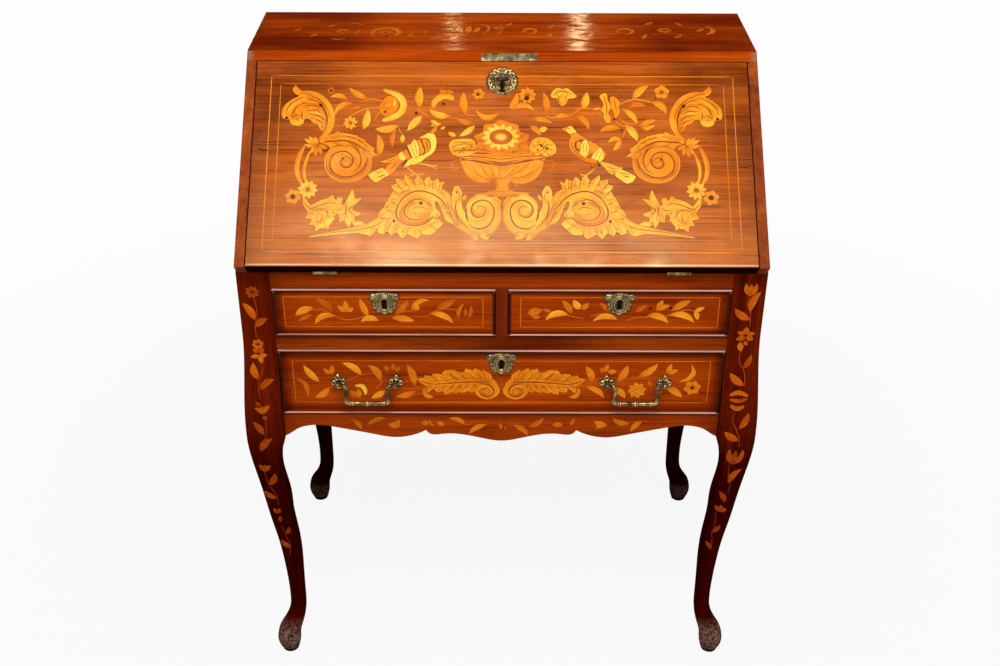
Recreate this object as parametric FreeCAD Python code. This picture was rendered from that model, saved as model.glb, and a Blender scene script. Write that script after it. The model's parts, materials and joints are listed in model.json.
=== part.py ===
import FreeCAD, Part
import math
import os

V = FreeCAD.Vector

# Slant-front writing bureau on cabriole legs, in millimetres.
# While it is modelled, X runs to the right, Y to the back and Z up: Y = 0 is the front of the
# drawer frame and Z = 0 the floor. At the end everything moves so that the origin is the
# centre of the bounding box, on the floor.

# Case
case_width = 800.0
case_depth = 446.0
write_height = 768.0
side_thick = 15.0
top_thick = 26.0
board_thick = 28.0
back_thick = 10.0
back_plank_count = 4
post_width = 49.0
edge_round = 8.0

# Drawer frame, from the writing board down
small_height = 85.0
rail_height = 24.0
wide_height = 123.0
divider_width = 18.0
rail_depth = 36.0
divider_depth = 30.0
dust_thick = 12.0
apron_thick = 20.0
apron_drop = 53.0
guide_height = 36.0
runner_thick = 15.0
runner_width = 21.0
rear_rail_thick = 20.0
rear_rail_height = 45.0
rear_rail_drop = 22.0
tenon_length = 20.0
tenon_thick = 10.0
tenon_shoulder = 3.0
apron_tenon_height = 24.0

# Fall and its hinges
slope_deg = 41.7
fall_length = 342.0
fall_thick = 24.0
fall_side_gap = 2.0
fall_end_gap = 1.5
hinge_gap = 1.0
bevel_width = 17.4
stop_height = 15.0
stop_depth = 22.0
stop_gap = 0.6
hinge_in = 116.0
leaf_length = 36.0
leaf_width = 28.0
leaf_thick = 1.6
barrel_radius = 3.5
middle_knuckle = 12.0
knuckle_gap = 0.3
barrel_clear = 0.4
hinge_pin_radius = 1.5
pin_clear = 0.05
screw_radius = 1.5
screw_head = 3.0
screw_length = 11.0
leather_margin = 53.0
leather_start = 45.0
leather_end_margin = 57.0
leather_thick = 1.2

# Fall lock, key and strike plate
key_below_end = 38.0
lock_half_width = 30.0
lock_height = 51.0
lock_depth = 14.0
fall_bolt_half = 7.0
fall_bolt_low = 8.5
fall_bolt_thick = 4.0
fall_bolt_length = 22.0
bolt_clear = 0.3
bit_radius = 9.0
bit_thick = 2.4
bit_low = 3.5
bit_high = 7.5
bit_clear = 0.5
key_radius = 2.4
key_clear = 0.08
key_reach = 20.0
bow_width = 22.0
bow_height = 20.0
bow_thick = 3.2
bow_rim = 3.6
keyhole_radius = 3.2
keyhole_slot = 1.8
keyhole_drop = 12.0
keyhole_flare = 1.0
plate_radius = 19.0
plate_thick = 2.5
plate_lobes = 9
plate_lobe_radius = 6.5
plate_lobe_first = -20.0
plate_lobe_sweep = 220.0
strike_left = -33.0
strike_right = 56.0
strike_thick = 1.5
strike_width = 13.5
strike_flange = 17.0
strike_pocket = 8.0

# Drawers
drawer_side_gap = 1.0
drawer_top_gap = 1.5
slide_clear = 0.3
drawer_back_gap = 7.0
front_thick = 18.0
bead_thick = 4.0
bead_depth = 9.0
bead_nose = 3.0
lining_thick = 9.0
lining_drop = 4.0
drawer_back_thick = 8.0
drawer_bottom_thick = 6.0
bottom_rise = 4.0
groove_depth = 4.0
tail_count = 3
tail_length = 8.0
tail_root = 0.30
tail_flare = 0.42
lock_case_half = 24.0
lock_case_height = 40.0
lock_case_front = 13.0
lock_case_back = 25.0
bolt_half = 8.0
bolt_thick = 4.0
bolt_length = 22.0
bolt_drop = 0.3
bolt_pocket = 8.0
small_key_below = 21.5
wide_key_below = 21.5
hole_radius = 2.2
hole_slot = 1.1
hole_drop = 8.0
escutcheon_thick = 1.8

# Bails of the wide drawer
bail_in = 138.0
bail_half_spacing = 45.5
bail_rise = 63.0
bail_stand = 13.5
bail_radius = 2.7
bail_pin_radius = 2.0
bail_neck_in = 13.0
bail_neck_drop = 8.0
bail_neck_radius = 4.0
bail_turn = 45.0
bail_swan_radius = 14.0
bail_bottom_radius = 13.0
bail_knop_radius = 4.2
bail_knop_half = 1.8
bail_ring_radius = 3.5
bail_ring_half = 0.9
bail_ring_x = 23.0
eye_radius = 5.0
eye_gap = 1.0
stem_radius = 4.0
shank_radius = 2.5
shank_clear = 0.1
shank_length = 24.0
rosette_radius = 5.0
rosette_lobe = 5.6
rosette_spread = 7.5
rosette_thick = 2.5
nut_radius = 6.0
nut_thick = 4.0

# Legs: the knee is placed from the apron, the foot from the floor
post_proud = 2.5
knee_out = 9.5
knee_forward = 12.5
knee_below = 24.0
knee_rise = 176.0
knee_sections = 12
ankle_height = 140.0
ankle_width = 26.0
ankle_in = 26.7
ankle_back = 4.0
foot_height = 28.0
foot_radius = 20.4
foot_in = 21.5
foot_forward = 7.0
rear_leg_in = 4.0
sole_share = 0.97
sole_radius = 14.0
sole_height = 6.0
sole_overlap = 2.0
leg_edge = 1.5
shank_edge = 5.5
bracket_out = 12.2
bracket_forward = 13.2
bracket_back = 46.0
bracket_thick = 47.0
bracket_edge = 3.0
bracket_margin = 1.5
shank_gap = 4.0
ankle_roundness = 0.55
foot_roundness = 0.97
rounding_height = 70.0

# Leg curve by share of the way from ankle up to knee: outer face beyond the case side, and width
shank_outline = {0.0: (-ankle_in, ankle_width), 0.19: (-22.6, 30.5), 0.39: (-14.8, 33.5),
                 0.61: (-4.5, 39.5), 0.84: (6.0, 41.3)}
# Front and back faces of the front leg, and depth of the rear leg, by the same shares
front_leg_front = {0.0: ankle_back, 0.19: ankle_back - 1, 0.39: 0.0, 0.61: -4.0, 0.84: -9.5}
front_leg_back = {0.0: ankle_back + ankle_width, 0.19: 33.0, 0.39: 35.0, 0.61: 35.0, 0.84: 34.0}
rear_leg_thick = {0.0: ankle_width, 0.19: 29.5, 0.39: 31.7, 0.61: 36.0, 0.84: 40.0}
# Foot: height above the floor, share of the way from the ankle's centre to the foot's, radius
foot_outline = ((102.0, 0.0, 13.3), (84.0, 0.05, 13.9), (68.0, 0.24, 15.6), (54.0, 0.62, 18.6),
                (42.0, 0.90, foot_radius - 0.5), (foot_height, 1.0, foot_radius),
                (14.0, 1.0, foot_radius - 2.0), (sole_height, sole_share, sole_radius + 2))

# Gallery inside the desk
upright_thick = 7.0
bay_divider_thick = 6.0
shelf_thick = 7.0
centre_half = 105.0
centre_shelf_rise = 112.0
inner_drawer_height = 56.0
gallery_gap = 1.5
pigeonholes_each_side = 3
valance_height = 25.0
centre_valance_height = 36.0
valance_thick = 5.0
valance_setback = 3.0
valance_foot_share = 0.35
inner_side_gap = 0.8
inner_top_gap = 1.0
inner_front_thick = 9.0
inner_side_thick = 6.0
inner_bottom_thick = 4.0
inner_bottom_rise = 2.0
inner_back_gap = 5.0
knob_radius = 6.0
knob_reach = 12.0
knob_stem_radius = 2.5

# Places worked out from the sizes above
half = case_width / 2
inner_half = half - side_thick
post_inner = half - post_width
board_low = write_height - board_thick
small_low = board_low - small_height
rail_low = small_low - rail_height
apron_top = rail_low - wide_height
rear_post = case_depth - post_width
back_front = case_depth - back_thick
slope = math.radians(slope_deg)
hinge_y = -hinge_gap
fall_half = inner_half - fall_side_gap
bevel_start = fall_length + fall_end_gap
hinge_x = fall_half - hinge_in
leather_half_width = fall_half - leather_margin
leather_end = fall_length - leather_end_margin
key_along = fall_length - key_below_end
lock_start = fall_length - lock_height
small_key_x = (post_inner + divider_width / 2) / 2
bail_x = post_inner - bail_in
top_rise = (bevel_start + bevel_width) * math.sin(slope) + fall_thick * math.cos(slope)
top_height = write_height + top_rise
top_low = top_height - top_thick
slope_place = FreeCAD.Placement(V(0, hinge_y, write_height), FreeCAD.Rotation(V(1, 0, 0), slope_deg))


def slope_point(along, out):
    # Y and Z of a point on the fall: along the slope from the hinge, and out from the inner face
    y = hinge_y + along * math.cos(slope) - out * math.sin(slope)
    z = write_height + along * math.sin(slope) + out * math.cos(slope)
    return y, z


def slope_y(z, out):
    # Y where the plane parallel to the fall, this far out from its inner face, reaches height z
    along = (z - write_height - out * math.cos(slope)) / math.sin(slope)
    return slope_point(along, out)[0]


# How far out from the fall's inner face the top's underside meets the edge that the fall closes on
top_end_out = (top_low - slope_point(bevel_start, 0)[1]) / math.cos(slope)
stop_back = slope_y(top_low, 0) + stop_depth
gallery_front = stop_back + gallery_gap


def box(x0, x1, y0, y1, z0, z1):
    return Part.makeBox(x1 - x0, y1 - y0, z1 - z0, V(x0, y0, z0))


def rod(start, direction, radius, length):
    return Part.makeCylinder(radius, length, start, direction)


def prism(points, direction):
    return Part.Face(Part.makePolygon(points + [points[0]])).extrude(direction)


def prism_x(points_yz, x0, x1):
    return prism([V(x0, y, z) for y, z in points_yz], V(x1 - x0, 0, 0))


def prism_z(points_xy, z0, z1):
    return prism([V(x, y, z0) for x, y in points_xy], V(0, 0, z1 - z0))


def fuse(shapes):
    return shapes[0].multiFuse(shapes[1:]).removeSplitter()


def on_slope(shape):
    # From the fall's own frame (X, along the slope, out from the inner face) to the case's
    placed = shape.copy()
    placed.Placement = slope_place
    return placed


def mirrored(shape):
    return shape.mirror(V(0, 0, 0), V(1, 0, 0))


def spline(points):
    curve = Part.BSplineCurve()
    curve.interpolate(points)
    return curve.toShape()


# Case boards

def tenon(y_middle, z0, z1):
    # Both end tenons of a rail between two posts, as one pair of blocks
    y0 = y_middle - tenon_thick / 2
    y1 = y_middle + tenon_thick / 2
    right = box(post_inner, post_inner + tenon_length, y0, y1, z0, z1)
    return [right, mirrored(right)]


mid_rail_tenons = tenon(rail_depth / 2, rail_low + tenon_shoulder, small_low - tenon_shoulder)
apron_tenons = tenon(apron_thick / 2, apron_top - tenon_shoulder - apron_tenon_height,
                     apron_top - tenon_shoulder)
rear_rail_low = apron_top - rear_rail_drop
rear_rail_high = rear_rail_low + rear_rail_height
rear_rail_middle = back_front - rear_rail_thick / 2
rear_rail_tenons = tenon(rear_rail_middle, rear_rail_low + tenon_shoulder,
                         rear_rail_high - tenon_shoulder)


def shaped_edge(start, length, direction, across, outline):
    # A curve of (share of the length, drop below the apron's top) points, as one edge
    points = []
    for share, drop in outline:
        place = start + direction * (share * length) + across
        points.append(V(place.x, place.y, apron_top - drop * apron_drop))
    return spline(points)


corner_drop = 0.82
side_corner_drop = 0.64
cusp_share = 0.348
cusp_drop = 0.60
lobe_outline = [(1.0, corner_drop), (0.968, 0.69), (0.934, 0.53), (0.90, 0.455), (0.853, 0.415),
                (0.755, 0.51), (0.59, 0.755), (0.50, 0.868), (0.42, 0.81), (cusp_share, cusp_drop)]
centre_outline = [(cusp_share, cusp_drop), (0.318, 0.765), (0.27, 0.745), (0.214, 0.736),
                  (0.108, 0.868), (0.0, 1.0)]
side_outline = [(0.0, side_corner_drop), (0.09, 0.42), (0.26, 0.53), (0.5, 0.76), (0.74, 0.53),
                (0.91, 0.42), (1.0, side_corner_drop)]


def front_apron():
    across = V(1, 0, 0)
    middle = V(0, 0, 0)
    flipped = [(-share, drop) for share, drop in lobe_outline]
    left_half = [(-share, drop) for share, drop in centre_outline[:-1]]
    centre = left_half + centre_outline[::-1]
    lower = [
        shaped_edge(middle, post_inner, across, V(0, 0, 0), flipped),
        shaped_edge(middle, post_inner, across, V(0, 0, 0), centre),
        shaped_edge(middle, post_inner, across, V(0, 0, 0), lobe_outline[::-1]),
    ]
    corner_z = apron_top - corner_drop * apron_drop
    frame = Part.makePolygon([
        V(post_inner, 0, corner_z), V(post_inner, 0, apron_top),
        V(-post_inner, 0, apron_top), V(-post_inner, 0, corner_z)])
    wire = Part.Wire(Part.__sortEdges__(lower + frame.Edges))
    body = Part.Face(wire).extrude(V(0, apron_thick, 0))
    return fuse([body] + apron_tenons)


def side_board(sign):
    corner_z = apron_top - side_corner_drop * apron_drop
    x = inner_half
    outline = [
        (rear_post, corner_z), (rear_post, write_height), (case_depth, write_height),
        (case_depth, top_low), slope_point(bevel_start, top_end_out),
        slope_point(bevel_start, fall_thick), slope_point(0, fall_thick), (hinge_y, write_height),
        (post_width, write_height), (post_width, corner_z)]
    frame = Part.makePolygon([V(x, y, z) for y, z in outline])
    lower = shaped_edge(V(x, post_width, 0), rear_post - post_width, V(0, 1, 0), V(0, 0, 0),
                        side_outline)
    wire = Part.Wire(Part.__sortEdges__([lower] + frame.Edges))
    board = Part.Face(wire).extrude(V(side_thick, 0, 0))
    return board if sign > 0 else mirrored(board)


def strike_shape():
    # Folded plate in the fall's frame: one leg on the bevel, one on the edge the fall meets
    face = box(strike_left, strike_right, bevel_start, bevel_start + strike_width,
               fall_thick - strike_thick, fall_thick)
    flange = box(strike_left, strike_right, bevel_start, bevel_start + strike_thick,
                 fall_thick - strike_flange, fall_thick)
    return face.fuse(flange).removeSplitter()


def fall_bolt_box(clear, start, end):
    return box(-fall_bolt_half - clear, fall_bolt_half + clear, start, end, fall_bolt_low - clear,
               fall_bolt_low + fall_bolt_thick + clear)


def top_board():
    front_high = slope_y(top_height, fall_thick)
    outline = [
        (case_depth, top_low), (case_depth, top_height), (front_high, top_height),
        slope_point(bevel_start, fall_thick), slope_point(bevel_start, top_end_out)]
    board = prism_x(outline, -half, half)
    arris = [edge for edge in board.Edges
             if edge.BoundBox.XLength > case_width / 2
             and abs(edge.BoundBox.YMin - front_high) < 0.01
             and abs(edge.BoundBox.ZMin - top_height) < 0.01]
    board = board.makeFillet(edge_round, arris)
    board = board.cut(on_slope(strike_shape()))
    pocket = fall_bolt_box(bolt_clear, bevel_start, bevel_start + strike_pocket)
    return board.cut(on_slope(pocket))


def strike_plate():
    hole = fall_bolt_box(bolt_clear, bevel_start - 1, bevel_start + strike_thick + 1)
    return on_slope(strike_shape().cut(hole))


def fall_stop():
    slack = stop_gap / math.sin(slope)
    low = top_low - stop_height
    outline = [(slope_y(low, 0) + slack, low), (slope_y(top_low, 0) + slack, top_low),
               (stop_back, top_low), (stop_back, low)]
    return prism_x(outline, -inner_half, inner_half)


def back_boards():
    planks = []
    pitch = 2 * inner_half / back_plank_count
    for n in range(back_plank_count):
        x0 = -inner_half + n * pitch
        x1 = x0 + pitch
        upper = box(x0, x1, back_front, case_depth, write_height, top_low)
        lower = box(max(x0, -post_inner), min(x1, post_inner), back_front, case_depth,
                    rear_rail_low, write_height)
        planks.append(fuse([upper, lower]))
    return planks


def bolt_slot(x, z):
    # Pocket above a drawer's lock for its bolt
    y0 = bolt_front - 2 * bolt_clear
    y1 = bolt_front + bolt_thick + 2 * bolt_clear
    reach = bolt_half + 3 * bolt_clear
    return box(x - reach, x + reach, y0, y1, z, z + bolt_pocket)


bolt_front = (lock_case_front + lock_case_back) / 2 - bolt_thick / 2
divider_tenon = box(-divider_width / 4, divider_width / 4, tenon_thick / 2, tenon_thick * 2,
                    small_low - tenon_thick, board_low + tenon_thick)


def writing_board():
    outline = [
        (-post_inner, 0), (post_inner, 0), (post_inner, post_width), (inner_half, post_width),
        (inner_half, rear_post), (post_inner, rear_post), (post_inner, back_front),
        (-post_inner, back_front), (-post_inner, rear_post), (-inner_half, rear_post),
        (-inner_half, post_width), (-post_inner, post_width)]
    board = prism_z(outline, board_low, write_height)
    for x in (-small_key_x, small_key_x):
        board = board.cut(bolt_slot(x, board_low))
    for x in (-hinge_x, hinge_x):
        board = board.cut(barrel(x, barrel_radius + barrel_clear, leaf_length / 2 + barrel_clear))
        board = board.cut(fixed_plate(x))
        for screw in fixed_screws(x):
            board = board.cut(screw)
    return board.cut(divider_tenon)


def mid_rail():
    rail = fuse([box(-post_inner, post_inner, 0, rail_depth, rail_low, small_low)] + mid_rail_tenons)
    return rail.cut(bolt_slot(0, rail_low)).cut(divider_tenon)


def dust_panel():
    return prism_z([
        (-post_inner, rail_depth), (post_inner, rail_depth), (post_inner, post_width),
        (inner_half, post_width), (inner_half, rear_post), (-inner_half, rear_post),
        (-inner_half, post_width), (-post_inner, post_width)], small_low - dust_thick, small_low)


def drawer_divider():
    upright = box(-divider_width / 2, divider_width / 2, 0, divider_depth, small_low, board_low)
    return fuse([upright, divider_tenon])


def drawer_guides():
    middle = box(-divider_width / 2, divider_width / 2, divider_depth, rear_post, small_low,
                 small_low + guide_height)
    right = box(post_inner, inner_half, post_width, rear_post, small_low, small_low + guide_height)
    return [middle, right, mirrored(right)]


def wide_drawer_runners():
    runner = box(post_inner - runner_width, post_inner, apron_thick, rear_post,
                 apron_top - runner_thick, apron_top)
    guide = box(post_inner, inner_half, post_width, rear_post, apron_top - runner_thick,
                apron_top + guide_height)
    right = fuse([runner, guide])
    return [right, mirrored(right)]


def rear_rail():
    rail = box(-post_inner, post_inner, back_front - rear_rail_thick, back_front, rear_rail_low,
               rear_rail_high)
    return fuse([rail] + rear_rail_tenons)


# Legs

def rounded_section(x0, x1, y0, y1, radius, z):
    bend = radius * (1 - math.sqrt(0.5))
    starts = [(x0 + radius, y0), (x1 - radius, y0), (x1, y0 + radius), (x1, y1 - radius),
              (x1 - radius, y1), (x0 + radius, y1), (x0, y1 - radius), (x0, y0 + radius)]
    middles = [(x1 - bend, y0 + bend), (x1 - bend, y1 - bend), (x0 + bend, y1 - bend),
               (x0 + bend, y0 + bend)]
    points = [V(x, y, z) for x, y in starts]
    edges = []
    for n in range(4):
        line_end = points[2 * n + 1]
        arc_end = points[(2 * n + 2) % 8]
        edges.append(Part.makeLine(points[2 * n], line_end))
        edges.append(Part.Arc(line_end, V(middles[n][0], middles[n][1], z), arc_end).toShape())
    return Part.Wire(edges)


def leg_depth(is_front, share):
    # The rear leg keeps its back flush with the case, so only its front face moves
    if is_front:
        return front_leg_front[share], front_leg_back[share]
    return case_depth - rear_leg_thick[share], case_depth


def leg(is_front, sign):
    knee = apron_top - knee_below
    shank_top = apron_top - apron_drop - shank_gap
    post_front = 0.0 if is_front else rear_post
    post_back = post_front + post_width
    lean = -1.0 if is_front else 0.0
    inset = 0.0 if is_front else rear_leg_in
    upper = [rounded_section(post_inner, half + post_proud, post_front, post_back, leg_edge, write_height)]
    for n in range(knee_sections + 1):
        # The post swells smoothly into the knee
        ramp = n / knee_sections
        bulge = ramp * ramp * (3 - 2 * ramp)
        upper.append(rounded_section(post_inner, half + post_proud + knee_out * bulge,
                                     post_front + lean * knee_forward * bulge, post_back,
                                     leg_edge, knee + knee_rise * (1 - ramp)))
    # The inner face stays straight as far down as the apron's corner
    bracket = apron_top - corner_drop * apron_drop - bracket_margin
    bracket_face = -bracket_forward if is_front else case_depth - bracket_thick
    bracket_rear = bracket_back if is_front else case_depth
    sections = [upper[-1], rounded_section(post_inner, half + bracket_out, bracket_face, bracket_rear,
                                           bracket_edge, bracket)]
    for share in sorted(shank_outline, reverse=True):
        out, width = shank_outline[share]
        front, back = leg_depth(is_front, share)
        z = ankle_height + share * (shank_top - ankle_height)
        outer = half + out - inset * (1 - share)
        sections.append(rounded_section(outer - width, outer, front, back, shank_edge, z))
    ankle_x = half - ankle_in - inset - ankle_width / 2
    foot_x = half - foot_in - inset
    ankle_y = ankle_back + ankle_width / 2 if is_front else case_depth - ankle_width / 2
    foot_y = -foot_forward if is_front else case_depth - foot_radius
    for z, share, radius in foot_outline:
        x = ankle_x + share * (foot_x - ankle_x)
        y = ankle_y + share * (foot_y - ankle_y)
        rounding = min(1.0, (ankle_height - z) / rounding_height)
        roundness = ankle_roundness + (foot_roundness - ankle_roundness) * rounding
        sections.append(rounded_section(x - radius, x + radius, y - radius, y + radius,
                                        radius * roundness, z))
    post = Part.makeLoft(upper, True, True)
    curve = Part.makeLoft(sections, True, False)
    sole_x = ankle_x + sole_share * (foot_x - ankle_x)
    sole_y = ankle_y + sole_share * (foot_y - ankle_y)
    sole = rod(V(sole_x, sole_y, 0), V(0, 0, 1), sole_radius, sole_height + sole_overlap)
    body = fuse([post, curve, sole])
    # Nothing swells past the post into the apron or the side board
    beyond = post_back if is_front else post_front - post_width
    body = body.cut(box(post_inner - post_width, post_inner, post_front - post_width,
                        post_back + post_width, bracket, write_height))
    body = body.cut(box(post_inner, half + post_width, beyond, beyond + post_width, bracket,
                        write_height))
    tenons = mid_rail_tenons + apron_tenons if is_front else rear_rail_tenons
    for peg in tenons:
        body = body.cut(peg)
    return body if sign > 0 else mirrored(body)


# Hinges

def barrel(x, radius, reach):
    return rod(V(x - reach, hinge_y, write_height), V(1, 0, 0), radius, 2 * reach)


def fixed_plate(x):
    return box(x - leaf_length / 2, x + leaf_length / 2, hinge_y, leaf_width,
               write_height - leaf_thick, write_height)


def screw(base, direction):
    head_height = screw_head - screw_radius
    head = Part.makeCone(screw_head, screw_radius, head_height, base, direction)
    shank = Part.makeCylinder(screw_radius, screw_length, base, direction)
    return fuse([head, shank])


screw_places = [(-leaf_length / 3, leaf_width * 0.55), (0.0, leaf_width * 0.75),
                (leaf_length / 3, leaf_width * 0.55)]


def fixed_screws(x):
    return [screw(V(x + dx, dy, write_height), V(0, 0, -1)) for dx, dy in screw_places]


def moving_screws(x):
    return [screw(V(x + dx, dy, 0), V(0, 0, 1)) for dx, dy in screw_places]


def slope_barrel(x, radius, reach):
    return rod(V(x - reach, 0, 0), V(1, 0, 0), radius, 2 * reach)


def hinge_fixed_leaves():
    solids = []
    for x in (-hinge_x, hinge_x):
        leaf = fuse([fixed_plate(x), barrel(x, barrel_radius, leaf_length / 2)])
        leaf = leaf.cut(barrel(x, barrel_radius + barrel_clear, middle_knuckle / 2 + knuckle_gap))
        leaf = leaf.cut(barrel(x, hinge_pin_radius + pin_clear, leaf_length))
        for piece in fixed_screws(x):
            leaf = leaf.cut(piece)
        solids += [leaf] + fixed_screws(x)
    return solids


def hinge_moving_leaves():
    solids = []
    for x in (-hinge_x, hinge_x):
        plate = box(x - leaf_length / 2, x + leaf_length / 2, 0, leaf_width, 0, leaf_thick)
        outer = slope_barrel(x, barrel_radius + barrel_clear, leaf_length)
        outer = outer.cut(box(x - middle_knuckle / 2, x + middle_knuckle / 2, -leaf_width,
                              leaf_width, -leaf_width, leaf_width))
        leaf = fuse([plate, slope_barrel(x, barrel_radius, middle_knuckle / 2)]).cut(outer)
        leaf = leaf.cut(slope_barrel(x, hinge_pin_radius + pin_clear, leaf_length))
        for piece in moving_screws(x):
            leaf = leaf.cut(piece)
        solids += [on_slope(piece) for piece in [leaf] + moving_screws(x)]
    return solids


def hinge_pins():
    return [barrel(x, hinge_pin_radius, leaf_length / 2 - knuckle_gap) for x in (-hinge_x, hinge_x)]


# Fall, in its own frame until it is placed on the slope

def keyhole(radius, slot, drop, low, high):
    hole = rod(V(0, key_along, low), V(0, 0, 1), radius, high - low)
    flare = prism([V(-slot, key_along, low), V(slot, key_along, low),
                   V(slot + keyhole_flare, key_along - drop, low),
                   V(-slot - keyhole_flare, key_along - drop, low)],
                  V(0, 0, high - low))
    return fuse([hole, flare])


def lock_block():
    return box(-lock_half_width, lock_half_width, lock_start, fall_length, 0, lock_depth)


def leather_block():
    return box(-leather_half_width, leather_half_width, leather_start, leather_end, 0, leather_thick)


def fall_panel():
    panel = box(-fall_half, fall_half, 0, fall_length, 0, fall_thick)
    for x in (-hinge_x, hinge_x):
        reach = leaf_length / 2
        panel = panel.cut(slope_barrel(x, barrel_radius + barrel_clear, reach + barrel_clear))
        panel = panel.cut(box(x - reach, x + reach, 0, leaf_width, 0, leaf_thick))
        for piece in moving_screws(x):
            panel = panel.cut(piece)
    panel = panel.cut(lock_block()).cut(leather_block())
    panel = panel.cut(keyhole(keyhole_radius, keyhole_slot, keyhole_drop, lock_depth, fall_thick))
    return on_slope(panel)


def fall_lock_case():
    bolt_start = fall_length - fall_bolt_length
    case = lock_block().cut(fall_bolt_box(bolt_clear, bolt_start - bolt_clear, fall_length))
    ward = rod(V(0, key_along, bit_low - bit_clear), V(0, 0, 1), bit_radius + bit_clear,
               bit_high - bit_low + 2 * bit_clear)
    bore = rod(V(0, key_along, bit_low - bit_clear), V(0, 0, 1), key_radius + key_clear, lock_depth)
    return on_slope(case.cut(ward).cut(bore))


def fall_bolt():
    return on_slope(fall_bolt_box(0, fall_length - fall_bolt_length, fall_length - bolt_clear))


def fall_escutcheon():
    ring = [rod(V(0, key_along, fall_thick), V(0, 0, 1), plate_radius, plate_thick)]
    for n in range(plate_lobes):
        # The lobes crown the upper part of the plate and leave its lower rim plain
        angle = math.radians(plate_lobe_first + plate_lobe_sweep * n / (plate_lobes - 1))
        x = plate_radius * math.cos(angle)
        y = key_along + plate_radius * math.sin(angle)
        ring.append(rod(V(x, y, fall_thick), V(0, 0, 1), plate_lobe_radius, plate_thick))
    plate = fuse(ring)
    hole = keyhole(keyhole_radius, keyhole_slot, keyhole_drop, fall_thick - 1,
                   fall_thick + plate_thick + 1)
    return on_slope(plate.cut(hole))


def oval(width, height, z, thick):
    # Flat oval standing in the X and out plane, centred on the key's axis
    curve = Part.Ellipse(V(0, 0, 0), max(width, height) / 2, min(width, height) / 2)
    face = Part.Face(Part.Wire(curve.toShape()))
    solid = face.extrude(V(0, 0, thick))
    solid.translate(V(0, 0, -thick / 2))
    solid.rotate(V(0, 0, 0), V(1, 0, 0), 90)
    solid.translate(V(0, key_along, z))
    return solid


def fall_key():
    bow_centre = fall_thick + key_reach + bow_height / 2
    shank = rod(V(0, key_along, bit_low), V(0, 0, 1), key_radius,
                fall_thick + key_reach + bow_rim / 2 - bit_low)
    bit = box(0, bit_radius, key_along - bit_thick / 2, key_along + bit_thick / 2, bit_low, bit_high)
    bow = oval(bow_width, bow_height, bow_centre, bow_thick)
    bow = bow.cut(oval(bow_width - 2 * bow_rim, bow_height - 2 * bow_rim, bow_centre, 2 * bow_thick))
    return on_slope(fuse([shank, bit, bow]))


def fall_leather():
    return on_slope(leather_block())


# Drawers

def bead_strip(start, along, across):
    # One cockbead strip: a flat lath with a half-round nose that stands out in front
    flat = V(0, bead_depth, 0)
    nose_start = V(0, -bead_nose + bead_thick / 2, 0)
    low = start + nose_start
    high = low + across * bead_thick
    tip = start + across * (bead_thick / 2) + V(0, -bead_nose, 0)
    edges = [
        Part.makeLine(start + flat, low),
        Part.Arc(low, tip, high).toShape(),
        Part.makeLine(high, start + across * bead_thick + flat),
        Part.makeLine(start + across * bead_thick + flat, start + flat)]
    return Part.Face(Part.Wire(edges)).extrude(along)


def drawer_keyhole(x, z, y0, y1):
    hole = rod(V(x, y0, z), V(0, 1, 0), hole_radius, y1 - y0)
    slot = box(x - hole_slot, x + hole_slot, y0, y1, z - hole_drop, z)
    return fuse([hole, slot])


def drawer_escutcheon(x, z):
    # Shield with two scrolled ears, a crest and a foot
    lobes = ((0.0, -1.0, 14.0), (-14.0, 8.5, 8.5), (14.0, 8.5, 8.5), (0.0, 10.0, 6.5),
             (-11.0, -6.0, 7.0), (11.0, -6.0, 7.0), (0.0, -14.0, 6.0))
    discs = [rod(V(x + dx, -escutcheon_thick, z + dz), V(0, 1, 0), radius, escutcheon_thick)
             for dx, dz, radius in lobes]
    plate = fuse(discs)
    return plate.cut(drawer_keyhole(x, z, -2 * escutcheon_thick, escutcheon_thick))


def tails(x0, x1, z0, z1):
    # Dovetail tails at the front end of one drawer side
    pitch = (z1 - z0) / tail_count
    pieces = []
    for n in range(tail_count):
        middle = z0 + (n + 0.5) * pitch
        root = pitch * tail_root
        tip = pitch * tail_flare
        y0 = front_thick - tail_length
        points = [V(x0, front_thick, middle - root), V(x0, y0, middle - tip),
                  V(x0, y0, middle + tip), V(x0, front_thick, middle + root)]
        pieces.append(prism(points, V(x1 - x0, 0, 0)))
    return pieces


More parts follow.
